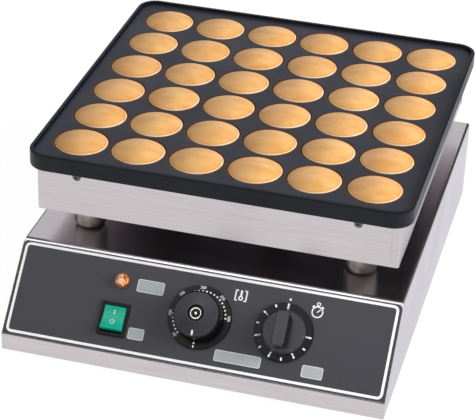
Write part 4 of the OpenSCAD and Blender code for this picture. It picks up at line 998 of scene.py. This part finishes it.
# Soot: how much of the brown ring a point has, by its distance from the nearest cup's middle.
# Land sheen: the flat face between the cups is painted lighter as a painted sheen, and the walls and cups
# aren't.
soot_reach = cup_r + cup_margin
soot_fade = 0.7
soot_depth = cup_r - 6.0
soot_thin = 5.0
under_cups = land - cup_depth - 0.5
land_slack = 0.05
soot_shares = []
land_sheen_shares = []
for v in casting.data.vertices:
    across, along, up = 1000 * v.co - plate_middle
    soot_share = 0.0
    if up > under_cups and max(abs(across), abs(along)) < cup_field:
        radius = math.hypot(*(s - cup_pitch * (math.floor(s / cup_pitch) + 0.5) for s in (across, along)))
        soot_share = min((soot_reach - radius) / soot_fade, (radius - soot_depth) / soot_thin)
    soot_shares.append(min(1.0, max(0.0, soot_share)))
    land_sheen_shares.append(1.0 if abs(up - land) < land_slack else 0.0)
for name, shares in (("soot", soot_shares), ("land_sheen", land_sheen_shares)):
    casting.data.attributes.new(name, "FLOAT", "POINT").data.foreach_set("value", shares)

# Pancakes: poured batter, baked in the cups until the domed face is golden, with a brown line inside
# the pale bead where it met the iron. Below the bead their sides are darker brown, partly browned on the
# iron and partly painted shade in the gap to the cup. They lie loose, each a little different.
pancake_r = 24.5
crown = 5.25
dome_edge = 0.65
dome_reach = 0.94
dome_shares = (0.0, 0.12, 0.25, 0.38, 0.5, 0.62, 0.72, 0.81, 0.88, dome_reach)
side_low = -0.9
# The bead, from the dome's edge to the side: shares of the radius, and heights
bead = [(0.962, 0.4), (0.978, 0.13), (0.99, -0.15), (1.0, -0.45), (0.985, side_low)]
bead_low = -0.3
skin_low = side_low - 0.1
under_reach = 0.9
under_narrow = 0.97
under_gap = 0.6
under_shares = (0.98, 0.7, 0.4, 0.0)
most_baked = 0.35
least_swell = 0.88
most_shift = 0.25
oval = 0.005
three_sided = 0.003
lump_h = 0.15
lump_size = 9.0
lump_field = 50.0
streak_length = 20.0
streak_width = 11.0
pore_size = 1.6

batter, tree, shader = start_material("baked_batter", Roughness=0.62, Specular_IOR_Level=1.0,
    Sheen_Weight=0.12, Subsurface_Weight=0.12, Subsurface_Radius=(0.004, 0.002, 0.001))
place = add_node(tree, "ShaderNodeTexCoord").outputs["Object"]
reach = add_node(tree, "ShaderNodeAttribute", attribute_name="rim_share").outputs["Fac"]
bake = add_node(tree, "ShaderNodeAttribute", attribute_name="bake").outputs["Fac"]
drawn = add_node(tree, "ShaderNodeMapping", {"Vector": place,
    "Scale": (1000 / streak_length, 1000 / streak_width, 1000 / streak_length)})
patch = add_node(tree, "ShaderNodeTexNoise", {"Vector": drawn.outputs[0], "Scale": 1.0, "Detail": 4.0})
pores = add_node(tree, "ShaderNodeTexNoise", {"Vector": place, "Scale": 1000 / pore_size, "Detail": 3.0})
face = add_node(tree, "ShaderNodeValToRGB", {0: patch.outputs[0]},
    stops=[(0.28, "#d09348"), (0.72, "#e3b372")])
browner = add_node(tree, "ShaderNodeMix", {0: bake, 6: face.outputs[0], 7: tint("#c68c4a")},
    data_type="RGBA")
on_bead = add_node(tree, "ShaderNodeMapRange", {"Value": reach,
    "From Min": 0.945, "From Max": 0.97, "To Min": 0.0, "To Max": 1.0})
thin = add_node(tree, "ShaderNodeMapRange", {"Value": patch.outputs[0],
    "From Min": 0.35, "From Max": 0.6, "To Min": 0.35, "To Max": 0.95})
bead_share = add_node(tree, "ShaderNodeMath", {0: on_bead.outputs[0], 1: thin.outputs[0]},
    operation="MULTIPLY")
beaded = add_node(tree, "ShaderNodeMix", {0: bead_share.outputs[0], 6: browner.outputs[2],
    7: tint("#d3cab9")}, data_type="RGBA")
# The darker brown on the side below the bead is partly browning on the iron and partly painted shade in the
# gap to the cup.
shade = add_node(tree, "ShaderNodeValToRGB", {0: reach}, stops=[(0.0, "#ffffff"), (1.0, "#7c5430"),
    (0.86, "#fffdf8"), (0.93, "#f4e4cc"), (0.955, "#ffffff"), (0.985, "#ffffff")])
shaded = add_node(tree, "ShaderNodeMix", {0: 1.0, 6: beaded.outputs[2], 7: shade.outputs[0]},
    data_type="RGBA", blend_type="MULTIPLY")
tree.links.new(shaded.outputs[2], shader.inputs["Base Color"])
bump = add_node(tree, "ShaderNodeBump", {"Height": pores.outputs[0], "Strength": 0.35, "Distance": 0.0002})
tree.links.new(bump.outputs[0], shader.inputs["Normal"])

profile = [(share * pancake_r, dome_edge + (crown - dome_edge) * (1 - (share / dome_reach) ** 2))
    for share in dome_shares]
profile += [(share * pancake_r, height) for share, height in bead]
under_slope = math.asin(under_reach * cup_r / ball_r)
profile += [(under_narrow * ball_r * math.sin(t), under_gap + ball_r * (math.cos(slope) - math.cos(t)))
    for t in (under_slope * share for share in under_shares)]
chance = random.Random(36)
rim_shares = []
bakes = []
bm = bmesh.new()
for column in range(cups):
    for row in range(cups):
        pancake = bmesh.new()
        turned(pancake, profile, Matrix(), steps=48)
        wave = [chance.uniform(0.0, 2 * math.pi) for _ in range(3)]
        baked = chance.uniform(0.0, most_baked)
        swell = chance.uniform(least_swell, 1.0)
        shift = Vector([chance.uniform(-most_shift, most_shift) for _ in range(2)] + [0.0])
        seed = Vector([chance.uniform(0.0, lump_field) for _ in range(3)])
        for v in pancake.verts:
            rim_shares.append(v.co.xy.length / pancake_r if v.co.z > bead_low else 1.0)
            bakes.append(baked)
            if v.co.z > skin_low:
                angle = math.atan2(v.co.y, v.co.x)
                wobble = 1 - oval * (1 - math.sin(2 * angle + wave[0])) - three_sided * (
                    1 - math.sin(3 * angle + wave[1]))
                on_dome = min(1.0, max(0.0, v.co.z - dome_edge))
                lift = lump_h * noise.noise(seed + v.co / lump_size) * on_dome
                v.co = (v.co.x * wobble, v.co.y * wobble, v.co.z * swell + lift)
        middle = Vector(((column - (cups - 1) / 2) * cup_pitch, (row - (cups - 1) / 2) * cup_pitch, land))
        stamp(bm, pancake, moved(*(plate_middle + middle + shift)) @ Matrix.Rotation(wave[2], 4, "Z"))
pancakes = make_piece("baked_pancakes", bm, batter, "pancakes", "baked_batter", "pancakes", sharp=80.0,
    flat_faces=False)
for name, shares in (("rim_share", rim_shares), ("bake", bakes)):
    pancakes.data.attributes.new(name, "FLOAT", "POINT").data.foreach_set("value", shares)

# Mains entry, wiring and the bodies behind the dials: a ceramic terminal block and thermostat, a timer
# moulded in urea, a black nylon gland with its locknut, and wires in glass-fibre sleeving and silicone.
ceramic = moulded_plastic("unglazed_ceramic", "#ded8ca", "#ece7dc", 0.6)
finish_nodes(ceramic, "thermostat_body", "terminal_block")
finish_nodes(moulded_plastic("pale_urea_moulding", "#d6d0c0", "#e4dfd2", 0.4), "timer_body")
finish_nodes(moulded_plastic("black_nylon", "#1c1c1f", "#28282c", 0.42), "cable_gland", "gland_locknut")
finish_nodes(moulded_plastic("glass_fibre_sleeving", "#b9b3a4", "#d3cec2", 0.8),
    "heater_leads", "element_links")
finish_nodes(moulded_plastic("grey_silicone_insulation", "#70737a", "#85888f", 0.6), "control_wires")
